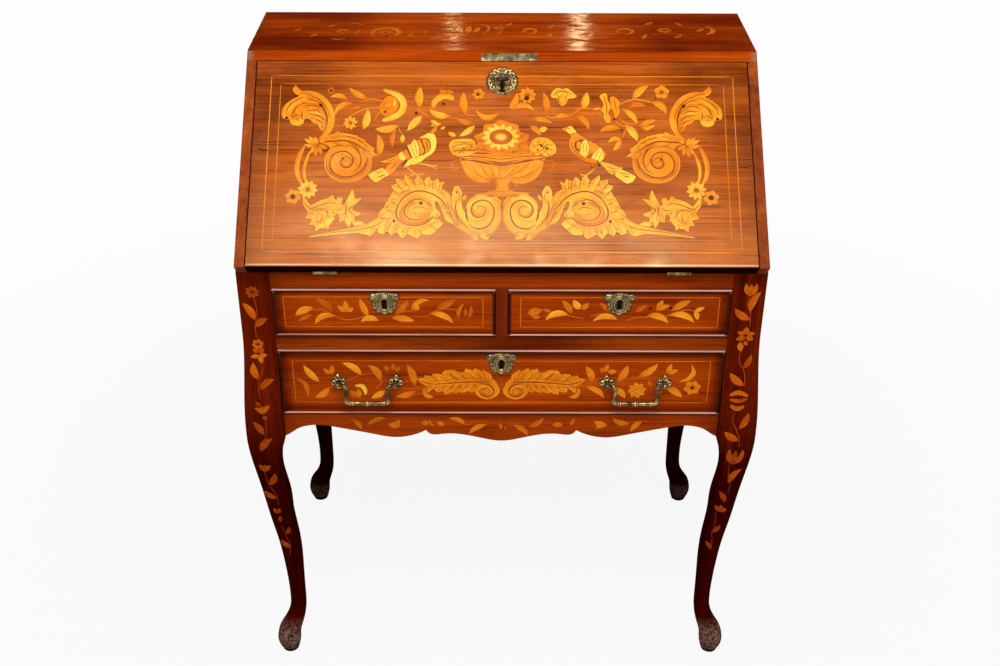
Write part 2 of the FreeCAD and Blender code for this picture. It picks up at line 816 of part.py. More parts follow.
def drawer(open_left, open_right, open_low, open_high, key_x, key_z, bail_places):
    x0 = open_left + drawer_side_gap
    x1 = open_right - drawer_side_gap
    z0 = open_low + slide_clear
    z1 = open_high - drawer_top_gap
    back = rear_post - drawer_back_gap
    side_high = z1 - lining_drop
    bottom = box(x0 + lining_thick - groove_depth, x1 - lining_thick + groove_depth,
                 front_thick - groove_depth, back, z0 + bottom_rise,
                 z0 + bottom_rise + drawer_bottom_thick)
    sides = []
    joints = []
    for left, right in ((x0, x0 + lining_thick), (x1 - lining_thick, x1)):
        pins = tails(left, right, z0, side_high)
        joints += pins
        body = box(left, right, front_thick, back, z0, side_high)
        sides.append(fuse([body] + pins).cut(bottom))
    rear = box(x0 + lining_thick, x1 - lining_thick, back - drawer_back_thick, back,
               z0 + bottom_rise + drawer_bottom_thick, side_high - lining_drop)
    lock = box(key_x - lock_case_half, key_x + lock_case_half, lock_case_front, lock_case_back,
               z1 - lock_case_height, z1)
    inner = box(x0, x1, bead_depth, front_thick, z0, z1)
    face = box(x0 + bead_thick, x1 - bead_thick, 0, bead_depth, z0 + bead_thick, z1 - bead_thick)
    front = fuse([inner, face]).cut(lock).cut(bottom)
    front = front.cut(drawer_keyhole(key_x, key_z, -1, front_thick))
    for pin in joints:
        front = front.cut(pin)
    for x, z in bail_places:
        front = front.cut(rod(V(x, 0, z), V(0, 1, 0), shank_radius + shank_clear, front_thick))
    long_way = V(x1 - x0, 0, 0)
    tall_way = V(0, 0, z1 - z0 - 2 * bead_thick)
    beads = [
        bead_strip(V(x0, 0, z0), long_way, V(0, 0, 1)),
        bead_strip(V(x0, 0, z1), long_way, V(0, 0, -1)),
        bead_strip(V(x0, 0, z0 + bead_thick), tall_way, V(1, 0, 0)),
        bead_strip(V(x1, 0, z0 + bead_thick), tall_way, V(-1, 0, 0))]
    bolt_x0 = key_x - bolt_half
    bolt_x1 = key_x + bolt_half
    bolt = box(bolt_x0, bolt_x1, bolt_front, bolt_front + bolt_thick, z1 - bolt_length,
               z1 - bolt_drop)
    channel = box(bolt_x0 - bolt_clear, bolt_x1 + bolt_clear, bolt_front - bolt_clear,
                  bolt_front + bolt_thick + bolt_clear, z1 - bolt_length - bolt_clear, z1)
    lock = lock.cut(channel)
    return {
        "front": [front],
        "box": sides + [rear, bottom],
        "cockbead": beads,
        "escutcheon": [drawer_escutcheon(key_x, key_z)],
        "lock_case": [lock],
        "lock_bolt": [bolt],
    }


# Bails

bail_z = apron_top + bail_rise


def bail(x):
    neck = bail_half_spacing - bail_neck_in
    elbow = neck + bail_neck_radius
    turn = math.radians(bail_turn)
    swan = V(neck + bail_swan_radius, 0, -bail_neck_drop)
    swan_end = swan + V(-math.cos(turn), 0, -math.sin(turn)) * bail_swan_radius
    swan_middle = swan + V(-math.cos(turn / 2), 0, -math.sin(turn / 2)) * bail_swan_radius
    low = swan_end + V(-math.cos(turn), 0, -math.sin(turn)) * bail_bottom_radius
    low_end = low + V(0, 0, -bail_bottom_radius)
    half_turn = -turn / 2
    low_middle = low + V(math.cos(half_turn), 0, math.sin(half_turn)) * bail_bottom_radius
    eye_inner = bail_half_spacing - eye_radius - eye_gap
    corner = bail_neck_radius * math.sqrt(0.5)
    elbow_middle = V(elbow - corner, 0, -bail_neck_radius + corner)
    right = [
        Part.makeLine(V(eye_inner, 0, 0), V(elbow, 0, 0)),
        Part.Arc(V(elbow, 0, 0), elbow_middle, V(neck, 0, -bail_neck_radius)).toShape(),
        Part.makeLine(V(neck, 0, -bail_neck_radius), V(neck, 0, -bail_neck_drop)),
        Part.Arc(V(neck, 0, -bail_neck_drop), swan_middle, swan_end).toShape(),
        Part.Arc(swan_end, low_middle, low_end).toShape(),
        Part.makeLine(low_end, V(0, 0, low_end.z))]
    half_path = Part.Wire(right)
    circle = Part.Circle(V(eye_inner, 0, 0), V(1, 0, 0), bail_radius).toShape()
    arm = half_path.makePipeShell([Part.Wire(circle)], True, False)
    pin = rod(V(eye_inner - eye_gap, 0, 0), V(1, 0, 0), bail_pin_radius, 2 * eye_radius)
    ring = rod(V(bail_ring_x - bail_ring_half, 0, low_end.z), V(1, 0, 0), bail_ring_radius,
               2 * bail_ring_half)
    half_bail = fuse([arm, pin, ring])
    knop = rod(V(-bail_knop_half, 0, low_end.z), V(1, 0, 0), bail_knop_radius, 2 * bail_knop_half)
    whole = fuse([half_bail, mirrored(half_bail), knop])
    whole.translate(V(x, -bail_stand, bail_z))
    return whole


def bail_places():
    return [(side * bail_x + step * bail_half_spacing, bail_z) for side in (-1, 1) for step in (-1, 1)]


def bail_rosettes():
    solids = []
    for x, z in bail_places():
        leaves = [rod(V(x, -rosette_thick, z), V(0, 1, 0), rosette_radius, rosette_thick)]
        for n in range(4):
            angle = math.radians(45 + 90 * n)
            place = V(x + rosette_spread * math.cos(angle), -rosette_thick,
                      z + rosette_spread * math.sin(angle))
            leaves.append(rod(place, V(0, 1, 0), rosette_lobe, rosette_thick))
        stem = rod(V(x, -bail_stand, z), V(0, 1, 0), stem_radius, bail_stand)
        eye = Part.makeSphere(eye_radius, V(x, -bail_stand, z))
        shank = rod(V(x, 0, z), V(0, 1, 0), shank_radius, shank_length)
        body = fuse(leaves + [stem, eye, shank])
        hole = rod(V(x - 2 * eye_radius, -bail_stand, z), V(1, 0, 0), bail_pin_radius + key_clear,
                   4 * eye_radius)
        solids.append(body.cut(hole))
    return solids


def bail_nuts():
    nuts = []
    for x, z in bail_places():
        nut = rod(V(x, front_thick, z), V(0, 1, 0), nut_radius, nut_thick)
        nuts.append(nut.cut(rod(V(x, 0, z), V(0, 1, 0), shank_radius + shank_clear, shank_length)))
    return nuts


# Gallery

shelf_low = write_height + inner_drawer_height
shelf_high = shelf_low + shelf_thick
bay_left = centre_half + upright_thick
bay_right = inner_half
bay_middle = (bay_left + bay_right) / 2
hole_width = (bay_right - bay_left - (pigeonholes_each_side - 1) * bay_divider_thick) / pigeonholes_each_side


def hole_left(n):
    return bay_left + n * (hole_width + bay_divider_thick)


def gallery_uprights():
    right = [box(centre_half, bay_left, gallery_front, back_front, write_height, top_low),
             box(bay_middle - bay_divider_thick / 2, bay_middle + bay_divider_thick / 2,
                 gallery_front, back_front, write_height, shelf_low)]
    for n in range(1, pigeonholes_each_side):
        x1 = hole_left(n)
        right.append(box(x1 - bay_divider_thick, x1, gallery_front, back_front, shelf_high, top_low))
    return right + [mirrored(solid) for solid in right]


def gallery_shelves():
    right = box(bay_left, bay_right, gallery_front, back_front, shelf_low, shelf_high)
    z = write_height + centre_shelf_rise
    centre = box(-centre_half, centre_half, gallery_front, back_front, z, z + shelf_thick)
    return [right, mirrored(right), centre]


def valance(x0, x1, height):
    # Board with a round-arched lower edge between two short straight ends
    foot = height * valance_foot_share
    y = gallery_front + valance_setback
    low = top_low - height
    crown = V((x0 + x1) / 2, y, top_low - foot)
    edges = [
        Part.Arc(V(x0 + foot, y, low), crown, V(x1 - foot, y, low)).toShape(),
        Part.makeLine(V(x1 - foot, y, low), V(x1, y, low)),
        Part.makeLine(V(x1, y, low), V(x1, y, top_low)),
        Part.makeLine(V(x1, y, top_low), V(x0, y, top_low)),
        Part.makeLine(V(x0, y, top_low), V(x0, y, low)),
        Part.makeLine(V(x0, y, low), V(x0 + foot, y, low))]
    return Part.Face(Part.Wire(edges)).extrude(V(0, valance_thick, 0))


def gallery_valances():
    solids = [valance(-centre_half, centre_half, centre_valance_height)]
    for n in range(pigeonholes_each_side):
        board = valance(hole_left(n), hole_left(n) + hole_width, valance_height)
        solids += [board, mirrored(board)]
    return solids


inner_spans = [
    (-bay_right, -bay_middle - bay_divider_thick / 2),
    (-bay_middle + bay_divider_thick / 2, -bay_left),
    (bay_left, bay_middle - bay_divider_thick / 2),
    (bay_middle + bay_divider_thick / 2, bay_right)]


def inner_drawer_box(span):
    x0 = span[0] + inner_side_gap
    x1 = span[1] - inner_side_gap
    y0 = gallery_front
    y1 = back_front - inner_back_gap
    z0 = write_height + slide_clear
    z1 = shelf_low - inner_top_gap
    inside = y0 + inner_front_thick
    floor = z0 + inner_bottom_rise
    x2 = x0 + inner_side_thick
    x3 = x1 - inner_side_thick
    front = box(x0, x1, y0, inside, z0, z1).cut(inner_knob(span))
    bottom = box(x2, x3, inside, y1 - inner_side_thick, floor, floor + inner_bottom_thick)
    left = box(x0, x2, inside, y1, z0, z1 - lining_drop)
    right = box(x3, x1, inside, y1, z0, z1 - lining_drop)
    rear = box(x2, x3, y1 - inner_side_thick, y1, z0, z1 - lining_drop)
    return [front, left, right, rear, bottom]


def inner_knob(span):
    x = (span[0] + span[1]) / 2
    z = (write_height + shelf_low) / 2
    start = V(x, gallery_front - knob_reach, z)
    head = Part.makeSphere(knob_radius, start + V(0, knob_radius, 0))
    stem = rod(start + V(0, knob_radius, 0), V(0, 1, 0), knob_stem_radius,
               knob_reach - knob_radius + inner_front_thick)
    return fuse([head, stem])


# All nodes

nodes = {
    "side_left": [side_board(-1)],
    "side_right": [side_board(1)],
    "top_board": [top_board()],
    "back_boards": back_boards(),
    "writing_board": [writing_board()],
    "mid_rail": [mid_rail()],
    "dust_panel": [dust_panel()],
    "drawer_divider": [drawer_divider()],
    "drawer_guides": drawer_guides(),
    "wide_drawer_runners": wide_drawer_runners(),
    "front_apron": [front_apron()],
    "rear_rail": [rear_rail()],
    "leg_front_left": [leg(True, -1)],
    "leg_front_right": [leg(True, 1)],
    "leg_rear_left": [leg(False, -1)],
    "leg_rear_right": [leg(False, 1)],
    "fall_stop": [fall_stop()],
    "strike_plate": [strike_plate()],
    "gallery_uprights": gallery_uprights(),
    "gallery_shelves": gallery_shelves(),
    "gallery_valances": gallery_valances(),
    "hinge_fixed_leaves": hinge_fixed_leaves(),
    "hinge_pins": hinge_pins(),
    "fall_panel": [fall_panel()],
    "fall_leather": [fall_leather()],
    "hinge_moving_leaves": hinge_moving_leaves(),
    "fall_lock_case": [fall_lock_case()],
    "fall_escutcheon": [fall_escutcheon()],
    "fall_bolt": [fall_bolt()],
    "fall_key": [fall_key()],
    "bail_left": [bail(-bail_x)],
    "bail_right": [bail(bail_x)],
    "bail_rosettes": bail_rosettes(),
    "bail_nuts": bail_nuts(),
}
small_key_z = board_low - drawer_top_gap - small_key_below
wide_key_z = rail_low - drawer_top_gap - wide_key_below
drawer_specs = {
    "left_drawer": (-post_inner, -divider_width / 2, small_low, board_low, -small_key_x,
                    small_key_z, []),
    "right_drawer": (divider_width / 2, post_inner, small_low, board_low, small_key_x,
                     small_key_z, []),
    "wide_drawer": (-post_inner, post_inner, apron_top, rail_low, 0.0, wide_key_z, bail_places()),
}
for drawer_name, spec in drawer_specs.items():
    for piece_name, solids in drawer(*spec).items():
        nodes[drawer_name + "_" + piece_name] = solids
for number, span in enumerate(inner_spans, 1):
    nodes["inner_drawer_%d_box" % number] = inner_drawer_box(span)
    nodes["inner_drawer_%d_knob" % number] = [inner_knob(span)]

whole_box = FreeCAD.BoundBox()
for solids in nodes.values():
    for solid in solids:
        whole_box.add(solid.optimalBoundingBox(False))
shift = V(-whole_box.Center.x, -whole_box.Center.y, -whole_box.ZMin)

os.makedirs("parts", exist_ok=True)
for name, solids in nodes.items():
    for solid in solids:
        solid.translate(shift)
    Part.makeCompound(solids).exportStep("parts/" + name + ".step")
    sound = all(solid.isValid() and len(solid.Solids) == 1 and solid.Volume > 0 for solid in solids)
    print(name, len(solids), "solids", "sound" if sound else "UNSOUND")
print("size", whole_box.XLength, whole_box.YLength, whole_box.ZLength)
print("origin shift", shift.x, shift.y, shift.z)
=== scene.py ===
import json
import math
import bpy
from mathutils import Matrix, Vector

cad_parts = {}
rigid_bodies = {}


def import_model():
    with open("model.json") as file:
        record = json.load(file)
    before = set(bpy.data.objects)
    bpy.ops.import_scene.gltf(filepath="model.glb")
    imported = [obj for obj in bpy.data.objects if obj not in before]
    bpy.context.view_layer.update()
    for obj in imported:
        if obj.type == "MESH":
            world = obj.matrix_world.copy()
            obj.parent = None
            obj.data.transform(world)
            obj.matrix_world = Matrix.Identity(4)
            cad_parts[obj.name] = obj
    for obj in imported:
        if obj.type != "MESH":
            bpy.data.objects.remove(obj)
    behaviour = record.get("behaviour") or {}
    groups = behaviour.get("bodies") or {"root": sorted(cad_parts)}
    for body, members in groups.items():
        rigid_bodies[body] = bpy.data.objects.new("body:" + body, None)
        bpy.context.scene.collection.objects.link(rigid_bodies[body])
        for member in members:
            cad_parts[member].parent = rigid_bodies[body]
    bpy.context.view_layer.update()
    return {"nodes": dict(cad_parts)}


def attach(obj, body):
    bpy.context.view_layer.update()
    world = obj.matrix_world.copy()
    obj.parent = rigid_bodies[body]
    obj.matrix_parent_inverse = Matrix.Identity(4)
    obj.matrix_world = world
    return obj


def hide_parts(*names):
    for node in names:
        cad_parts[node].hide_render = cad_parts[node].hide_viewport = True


for leftOver in list(bpy.data.objects):
    bpy.data.objects.remove(leftOver)
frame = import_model()
nodes = frame["nodes"]
bpy.ops.object.select_all(action="DESELECT")

# the desk's own frame, millimetres: X right, Y back from the drawer fronts, Z up
desk = {"shiftY": -209.7996, "hingeY": -1.0, "hingeZ": 768.0, "slope": 41.7, "fallThick": 24.0,
        "topZ": 1026.0, "topLift": 0.35}


def onFront(x, up, lift):
    return Vector((x, desk["shiftY"] - lift, up)) / 1000


def onFall(x, up, lift):
    turn = math.radians(desk["slope"])
    out = desk["fallThick"] + lift
    y = desk["hingeY"] + up * math.cos(turn) - out * math.sin(turn)
    z = desk["hingeZ"] + up * math.sin(turn) + out * math.cos(turn)
    return Vector((x, y + desk["shiftY"], z)) / 1000


def onTop(x, back, lift):
    return Vector((x, back + desk["shiftY"], desk["topZ"] + desk["topLift"] * lift)) / 1000


# shading helpers; a value is a number or another node's socket
def newFinish(name):
    finish = bpy.data.materials.new(name)
    finish.use_nodes = True
    return finish, finish.node_tree, finish.node_tree.nodes["Principled BSDF"]


def plug(tree, socket, value):
    if isinstance(value, bpy.types.NodeSocket):
        tree.links.new(value, socket)
    else:
        socket.default_value = value


def addNode(tree, kind, **values):
    node = tree.nodes.new("ShaderNode" + kind)
    for key, value in values.items():
        plug(tree, node.inputs[key.replace("_", " ")], value)
    return node


def calc(tree, kind, a, b=0.0, clamp=False):
    node = addNode(tree, "Math")
    node.operation = kind
    node.use_clamp = clamp
    plug(tree, node.inputs[0], a)
    plug(tree, node.inputs[1], b)
    return node.outputs[0]


def times(tree, *values):
    total = values[0]
    for value in values[1:]:
        total = calc(tree, "MULTIPLY", total, value)
    return total


def plus(tree, *values):
    total = values[0]
    for value in values[1:]:
        total = calc(tree, "ADD", total, value)
    return total


def spread(tree, value, low, high, toLow=0.0, toHigh=1.0):
    node = addNode(tree, "MapRange", Value=value, From_Min=low, From_Max=high, To_Min=toLow, To_Max=toHigh)
    node.interpolation_type = "SMOOTHSTEP"
    return node.outputs["Result"]


def onObject(tree):
    return tree.nodes.new("ShaderNodeTexCoord").outputs["Object"]


def cloudy(tree, vector, detail, rough, warp=0.0):
    node = addNode(tree, "TexNoise", Vector=vector, Scale=1.0, Detail=detail, Roughness=rough,
                   Distortion=warp)
    return node.outputs["Fac"]


def cloudAt(tree, scale, detail, rough, warp=0.0):
    placed = addNode(tree, "Mapping", Vector=onObject(tree), Scale=scale)
    return cloudy(tree, placed.outputs["Vector"], detail, rough, warp)


def tinted(tree, value, places, colours):
    node = addNode(tree, "ValToRGB", Fac=value)
    ramp = node.color_ramp
    while len(ramp.elements) < len(places):
        ramp.elements.new(0.5)
    for element, place, colour in zip(ramp.elements, places, colours):
        element.position = place
        element.color = (*colour, 1)
    return node.outputs["Color"]


def blended(tree, mode, share, under, tint):
    node = addNode(tree, "Mix")
    node.data_type = "RGBA"
    node.blend_type = mode
    plug(tree, node.inputs[0], share)
    plug(tree, node.inputs[6], under)
    plug(tree, node.inputs[7], tint if isinstance(tint, bpy.types.NodeSocket) else (*tint, 1))
    return node.outputs[2]


def stained(tree, share, under, tint):
    return blended(tree, "MULTIPLY", share, under, tint)


def painted(tree, share, under, tint):
    return blended(tree, "MIX", share, under, tint)


def roughened(tree, shader, cloud, low, high):
    plug(tree, shader.inputs["Roughness"], spread(tree, cloud, 0.3, 0.7, low, high))


def raised(tree, shader, height, strength, distance):
    node = addNode(tree, "Bump", Height=height, Strength=strength, Distance=distance)
    tree.links.new(node.outputs["Normal"], shader.inputs["Normal"])


def axisOf(tree, axis):
    split = addNode(tree, "SeparateXYZ", Vector=onObject(tree))
    return split.outputs[axis]


def facing(tree, axis, low, high, least=0.0):
    surface = tree.nodes.new("ShaderNodeNewGeometry")
    split = addNode(tree, "SeparateXYZ", Vector=surface.outputs["Normal"])
    return spread(tree, split.outputs[axis], low, high, least, 1.0)


def attributeOf(tree, name):
    node = tree.nodes.new("ShaderNodeAttribute")
    node.attribute_name = name
    return node.outputs["Fac"]


# polished walnut: (along the grain, across it, detail, roughness, warp) of each layer
woodLayers = {
    "figure": (1.1, 15.0, 4.0, 0.55, 1.4), "streak": (2.2, 85.0, 4.0, 0.6, 0.5),
    "fibre": (9.0, 420.0, 5.0, 0.65, 0.0), "pores": (38.0, 1500.0, 2.0, 0.5, 0.0),
    "dirt": (3.0, 9.0, 5.0, 0.65, 0.8), "lines": (5.0, 320.0, 3.0, 0.5, 0.6)}
# dark marks: where a layer starts and ends, and its tint
woodMarks = {
    "pores": (0.58, 0.7, (0.42, 0.3, 0.25)), "dirt": (0.52, 0.74, (0.34, 0.22, 0.2)),
    "lines": (0.58, 0.7, (0.3, 0.2, 0.18))}
woodStops = (0.34, 0.46, 0.56, 0.68)
plankLook = {"wave": 2.4, "shift": 0.035, "gap": (0.0014, 0.0006, 0.0, 0.9), "gapTint": (0.02, 0.01, 0.005)}
# the fall's lower edge: painted shade, and a bright line of rubbed wear and painted highlight
edgeShadeLook = {"share": 0.97, "tint": (0.005, 0.001, 0.0005), "rubbedShineShare": 0.7, "rubbed": (0.8, 0.5, 0.28)}
# painted shade near the rims of drawers and rails
rimShadeTint = (0.36, 0.26, 0.24)
footLook = {"scuff": (190.0, 190.0, 240.0), "worn": (0.27, 0.16, 0.12), "sole": (0.011, 0.006),
            "soleTint": (0.012, 0.006, 0.004)}
bumpHeight = 0.0004


def edgeShadeAndShine(tree, colour, reach, streak):
    # the fall's edge that faces down is painted dark as shade, with a bright line just above it, part rubbed
    # wear and part painted highlight
    turn = math.radians(desk["slope"])
    fromY = calc(tree, "SUBTRACT", axisOf(tree, "Y"), (desk["hingeY"] + desk["shiftY"]) / 1000)
    fromZ = calc(tree, "SUBTRACT", axisOf(tree, "Z"), desk["hingeZ"] / 1000)
    rise = plus(tree, times(tree, fromY, math.cos(turn)), times(tree, fromZ, math.sin(turn)))
    dark = spread(tree, rise, reach, reach * 0.3)
    colour = painted(tree, times(tree, dark, edgeShadeLook["share"]), colour, edgeShadeLook["tint"])
    above = spread(tree, rise, reach * 0.9, reach * 1.5)
    below = spread(tree, rise, reach * 2.6, reach * 1.7)
    bright = times(tree, above, below, spread(tree, streak, 0.3, 0.55), edgeShadeLook["rubbedShineShare"])
    return painted(tree, bright, colour, edgeShadeLook["rubbed"]), dark


def darkEnds(tree, colour, look):
    # both ends of a board are darker, and further in towards the top of the fall
    reach, tint = look["border"]
    fromMiddle = calc(tree, "ABSOLUTE", axisOf(tree, "X"))
    if "upper" in look:
        fromMiddle = plus(tree, fromMiddle, spread(tree, axisOf(tree, "Z"), 0.88, 1.0, 0.0, look["upper"]))
    patchy = spread(tree, cloudAt(tree, (6.0, 14.0, 14.0), 4.0, 0.6), 0.3, 0.62, 0.5, 1.0)
    share = times(tree, spread(tree, fromMiddle, reach - 0.06, reach + 0.05), patchy)
    if "corners" not in look:
        return stained(tree, share, colour, tint)
    # the front strip keeps its colour out to the ends, where both corners are rubbed
    start, rubbed = look["corners"]
    colour = stained(tree, times(tree, share, facing(tree, "Z", 0.9, 0.98, 0.3)), colour, tint)
    near = times(tree, spread(tree, fromMiddle, start, start + 0.012), facing(tree, "Y", -0.3, -0.6), patchy)
    return painted(tree, near, colour, rubbed)


def wornFeet(tree, colour, high, most):
    up = axisOf(tree, "Z")
    scuffs = spread(tree, cloudAt(tree, footLook["scuff"], 6.0, 0.72), 0.36, 0.66)
    worn = times(tree, scuffs, spread(tree, up, high, high * 0.55), most)
    colour = painted(tree, worn, colour, footLook["worn"])
    return painted(tree, spread(tree, up, *footLook["sole"]), colour, footLook["soleTint"])


def walnutFinish(name, changes):
    look = {**plainWood, **changes}
    finish, tree, shader = newFinish(name)
    layers = {}
    for layer, (slow, quick, *noise) in woodLayers.items():
        scale = tuple(slow if letter == look["grain"] else quick for letter in "xyz")
        layers[layer] = cloudAt(tree, scale, *noise)
    wide = times(tree, layers["figure"], look["figure"])
    middle = times(tree, layers["streak"], look["streak"])
    total = plus(tree, wide, middle, times(tree, layers["fibre"], 1.0 - look["figure"] - look["streak"]))
    if "planks" in look:
        # each board a little lighter or darker than its neighbour
        half, pitch = look["planks"]
        plank = calc(tree, "DIVIDE", plus(tree, axisOf(tree, "X"), half), pitch)
        shift = calc(tree, "SINE", times(tree, calc(tree, "FLOOR", plank), plankLook["wave"]))
        total = plus(tree, total, times(tree, shift, plankLook["shift"]))
    colour = tinted(tree, total, woodStops, look["colours"])
    for mark, (low, high, tint) in woodMarks.items():
        colour = stained(tree, times(tree, spread(tree, layers[mark], low, high), look[mark]), colour, tint)
    if "planks" in look:
        part = calc(tree, "FRACT", plank)
        joint = times(tree, calc(tree, "MINIMUM", part, calc(tree, "SUBTRACT", 1.0, part)), pitch)
        colour = painted(tree, spread(tree, joint, *plankLook["gap"]), colour, plankLook["gapTint"])
    gloss = look["gloss"]
    # painted shade and highlight on the fall's lower edge; the shaded part also loses its gloss
    if "edge" in look:
        colour, dark = edgeShadeAndShine(tree, colour, look["edge"], layers["streak"])
        gloss = times(tree, calc(tree, "SUBTRACT", 1.0, dark), gloss)
    if "border" in look:
        colour = darkEnds(tree, colour, look)
    # painted shade: darker near the rims of the drawer openings and rails, and under the fall's edge
    for axis, rim, reach in look["rims"]:
        away = calc(tree, "ABSOLUTE", calc(tree, "SUBTRACT", axisOf(tree, axis), rim))
        rimShade = times(tree, spread(tree, away, reach, reach * 0.15), spread(tree, wide, 0.1, 0.26, 0.45, 1.0))
        colour = stained(tree, rimShade, colour, rimShadeTint)
    # painted highlight on the upward faces of the cockbeads
    if "crest" in look:
        lit = times(tree, facing(tree, "Z", 0.3, 0.8), spread(tree, layers["figure"], 0.3, 0.55, 0.35, 1.0))
        colour = painted(tree, lit, colour, look["crest"])
    # painted shade: darker towards the floor
    if "lower" in look:
        low, high, tint = look["lower"]
        colour = stained(tree, spread(tree, axisOf(tree, "Z"), low, high, 1.0, 0.0), colour, tint)
    if "feet" in look:
        colour = wornFeet(tree, colour, *look["feet"])
    plug(tree, shader.inputs["Base Color"], colour)
    wear = cloudAt(tree, (16.0, 16.0, 16.0), 5.0, 0.6)
    roughened(tree, shader, wear, look["rough"] - 0.07, look["rough"] + 0.1)
    plug(tree, shader.inputs["Specular IOR Level"], gloss)
    shader.inputs["Specular Tint"].default_value = (*look["varnish"], 1)
    if "coat" in look:
        weight, rough = look["coat"]
        rubbed = spread(tree, cloudAt(tree, (30.0, 70.0, 70.0), 5.0, 0.75), 0.4, 0.62)
        plug(tree, shader.inputs["Coat Weight"], times(tree, rubbed, weight))
        shader.inputs["Coat Roughness"].default_value = rough
    height = plus(tree, times(tree, layers["fibre"], 0.5), times(tree, layers["streak"], 0.5))
    raised(tree, shader, height, look["bump"], bumpHeight)
    return finish


# what a wood shares with the others unless it says otherwise; colours go from dark to light
plainWood = {"grain": "x", "figure": 0.42, "streak": 0.33, "pores": 0.55, "dirt": 0.4, "lines": 0.5,
             "rough": 0.4, "gloss": 0.015, "bump": 0.12, "varnish": (1, 1, 1), "rims": []}
woods = {
    "fall": {
        "colours": [(0.125, 0.019, 0.002), (0.305, 0.054, 0.004), (0.42, 0.09, 0.007), (0.58, 0.16, 0.018)],
        "figure": 0.34, "streak": 0.3, "dirt": 0.5, "lines": 0.75, "rough": 0.21, "gloss": 0.16,
        "varnish": (1.0, 0.82, 0.44), "bump": 0.1, "edge": 0.0024, "border": (0.37, (0.42, 0.34, 0.4)),
        "upper": 0.11},
    "drawers": {
        "colours": [(0.12, 0.011, 0.001), (0.3, 0.034, 0.0012), (0.4, 0.053, 0.0018), (0.56, 0.094, 0.003)],
        "dirt": 0.6, "lines": 0.6, "border": (0.33, (0.6, 0.5, 0.5)),
        "rims": [("Z", 0.7375, 0.012), ("Z", 0.6605, 0.012), ("Z", 0.6215, 0.013), ("Z", 0.5195, 0.011),
                 ("X", 0.347, 0.018), ("X", -0.347, 0.018)]},
    "rails": {
        "colours": [(0.12, 0.012, 0.001), (0.32, 0.038, 0.0018), (0.43, 0.058, 0.0025), (0.58, 0.098, 0.005)],
        "figure": 0.38, "streak": 0.36, "dirt": 0.45, "lines": 0.6, "border": (0.34, (0.5, 0.4, 0.4)),
        "rims": [("Z", 0.7655, 0.009), ("Z", 0.7385, 0.007), ("Z", 0.519, 0.016)],
        "lower": (0.5, 0.6, (0.86, 0.82, 0.82))},
    # painted shade: a darker copy of the rails' wood, for the shade under the small drawers
    "midRailShaded": {
        "colours": [(0.07, 0.008, 0.001), (0.22, 0.03, 0.0015), (0.34, 0.052, 0.002), (0.44, 0.078, 0.005)],
        "figure": 0.5, "streak": 0.28, "dirt": 0.8, "lines": 0.7, "border": (0.34, (0.55, 0.45, 0.45)),
        "rims": [("Z", 0.6215, 0.008), ("Z", 0.6605, 0.008), ("X", 0.04, 0.17)]},
    "top": {
        "colours": [(0.1, 0.009, 0.001), (0.24, 0.027, 0.001), (0.36, 0.048, 0.002), (0.52, 0.09, 0.005)],
        "streak": 0.34, "dirt": 0.6, "lines": 0.7, "rough": 0.42, "gloss": 0.0, "coat": (0.1, 0.12),
        "border": (0.22, (0.44, 0.3, 0.36)), "corners": (0.386, (0.2, 0.11, 0.07))},
    "sides": {
        "colours": [(0.085, 0.014, 0.003), (0.19, 0.034, 0.006), (0.27, 0.054, 0.009), (0.39, 0.095, 0.018)],
        "grain": "z", "figure": 0.4, "streak": 0.34, "dirt": 0.45, "lines": 0.6, "rough": 0.38,
        "gloss": 0.02},
    "legs": {
        "colours": [(0.035, 0.002, 0.0005), (0.085, 0.006, 0.0006), (0.13, 0.01, 0.0008),
                    (0.22, 0.024, 0.002)],
        "grain": "z", "rough": 0.36, "gloss": 0.0, "lower": (0.36, 0.56, (0.32, 0.16, 0.14)),
        "feet": (0.07, 0.85)},
    # painted shade: a darker copy of the front legs' wood for the legs at the back
    "rearLegsShaded": {
        "colours": [(0.028, 0.003, 0.0006), (0.06, 0.006, 0.0008), (0.09, 0.01, 0.001), (0.15, 0.02, 0.002)],
        "grain": "z", "dirt": 0.5, "rough": 0.42, "gloss": 0.0, "lower": (0.3, 0.62, (0.16, 0.1, 0.1)),
        "feet": (0.05, 0.3)},
    "beads": {
        "colours": [(0.016, 0.003, 0.001), (0.035, 0.006, 0.001), (0.06, 0.01, 0.002), (0.12, 0.022, 0.005)],
        "figure": 0.4, "streak": 0.35, "lines": 0.4, "rough": 0.32, "gloss": 0.03, "bump": 0.1,
        "crest": (0.5, 0.27, 0.2)},
    "inside": {
        "colours": [(0.15, 0.03, 0.006), (0.25, 0.06, 0.013), (0.31, 0.085, 0.02), (0.4, 0.13, 0.035)],
        "rough": 0.44, "gloss": 0.2, "coat": (0.1, 0.25), "bump": 0.15},
    "divider": {
        "colours": [(0.06, 0.005, 0.001), (0.12, 0.011, 0.001), (0.16, 0.016, 0.0015), (0.22, 0.028, 0.003)],
        "grain": "z", "gloss": 0.04},
    "lining": {
        "colours": [(0.2, 0.1, 0.036), (0.32, 0.18, 0.075), (0.38, 0.225, 0.1), (0.47, 0.3, 0.15)],
        "grain": "y", "figure": 0.4, "streak": 0.35, "dirt": 0.6, "lines": 0.35, "rough": 0.66, "gloss": 0.2,
        "bump": 0.35},
    "back": {
        "colours": [(0.17, 0.075, 0.03), (0.29, 0.145, 0.062), (0.36, 0.19, 0.085), (0.45, 0.26, 0.125)],
        "grain": "z", "figure": 0.4, "streak": 0.35, "dirt": 0.7, "lines": 0.7, "rough": 0.72, "gloss": 0.05,
        "bump": 0.4, "planks": (0.385, 0.1925)},
}
drawers = ["left_drawer", "right_drawer", "wide_drawer"]
innerDrawers = ["inner_drawer_%d" % number for number in (1, 2, 3, 4)]


def piecesOf(owners, ending):
    return [owner + ending for owner in owners]


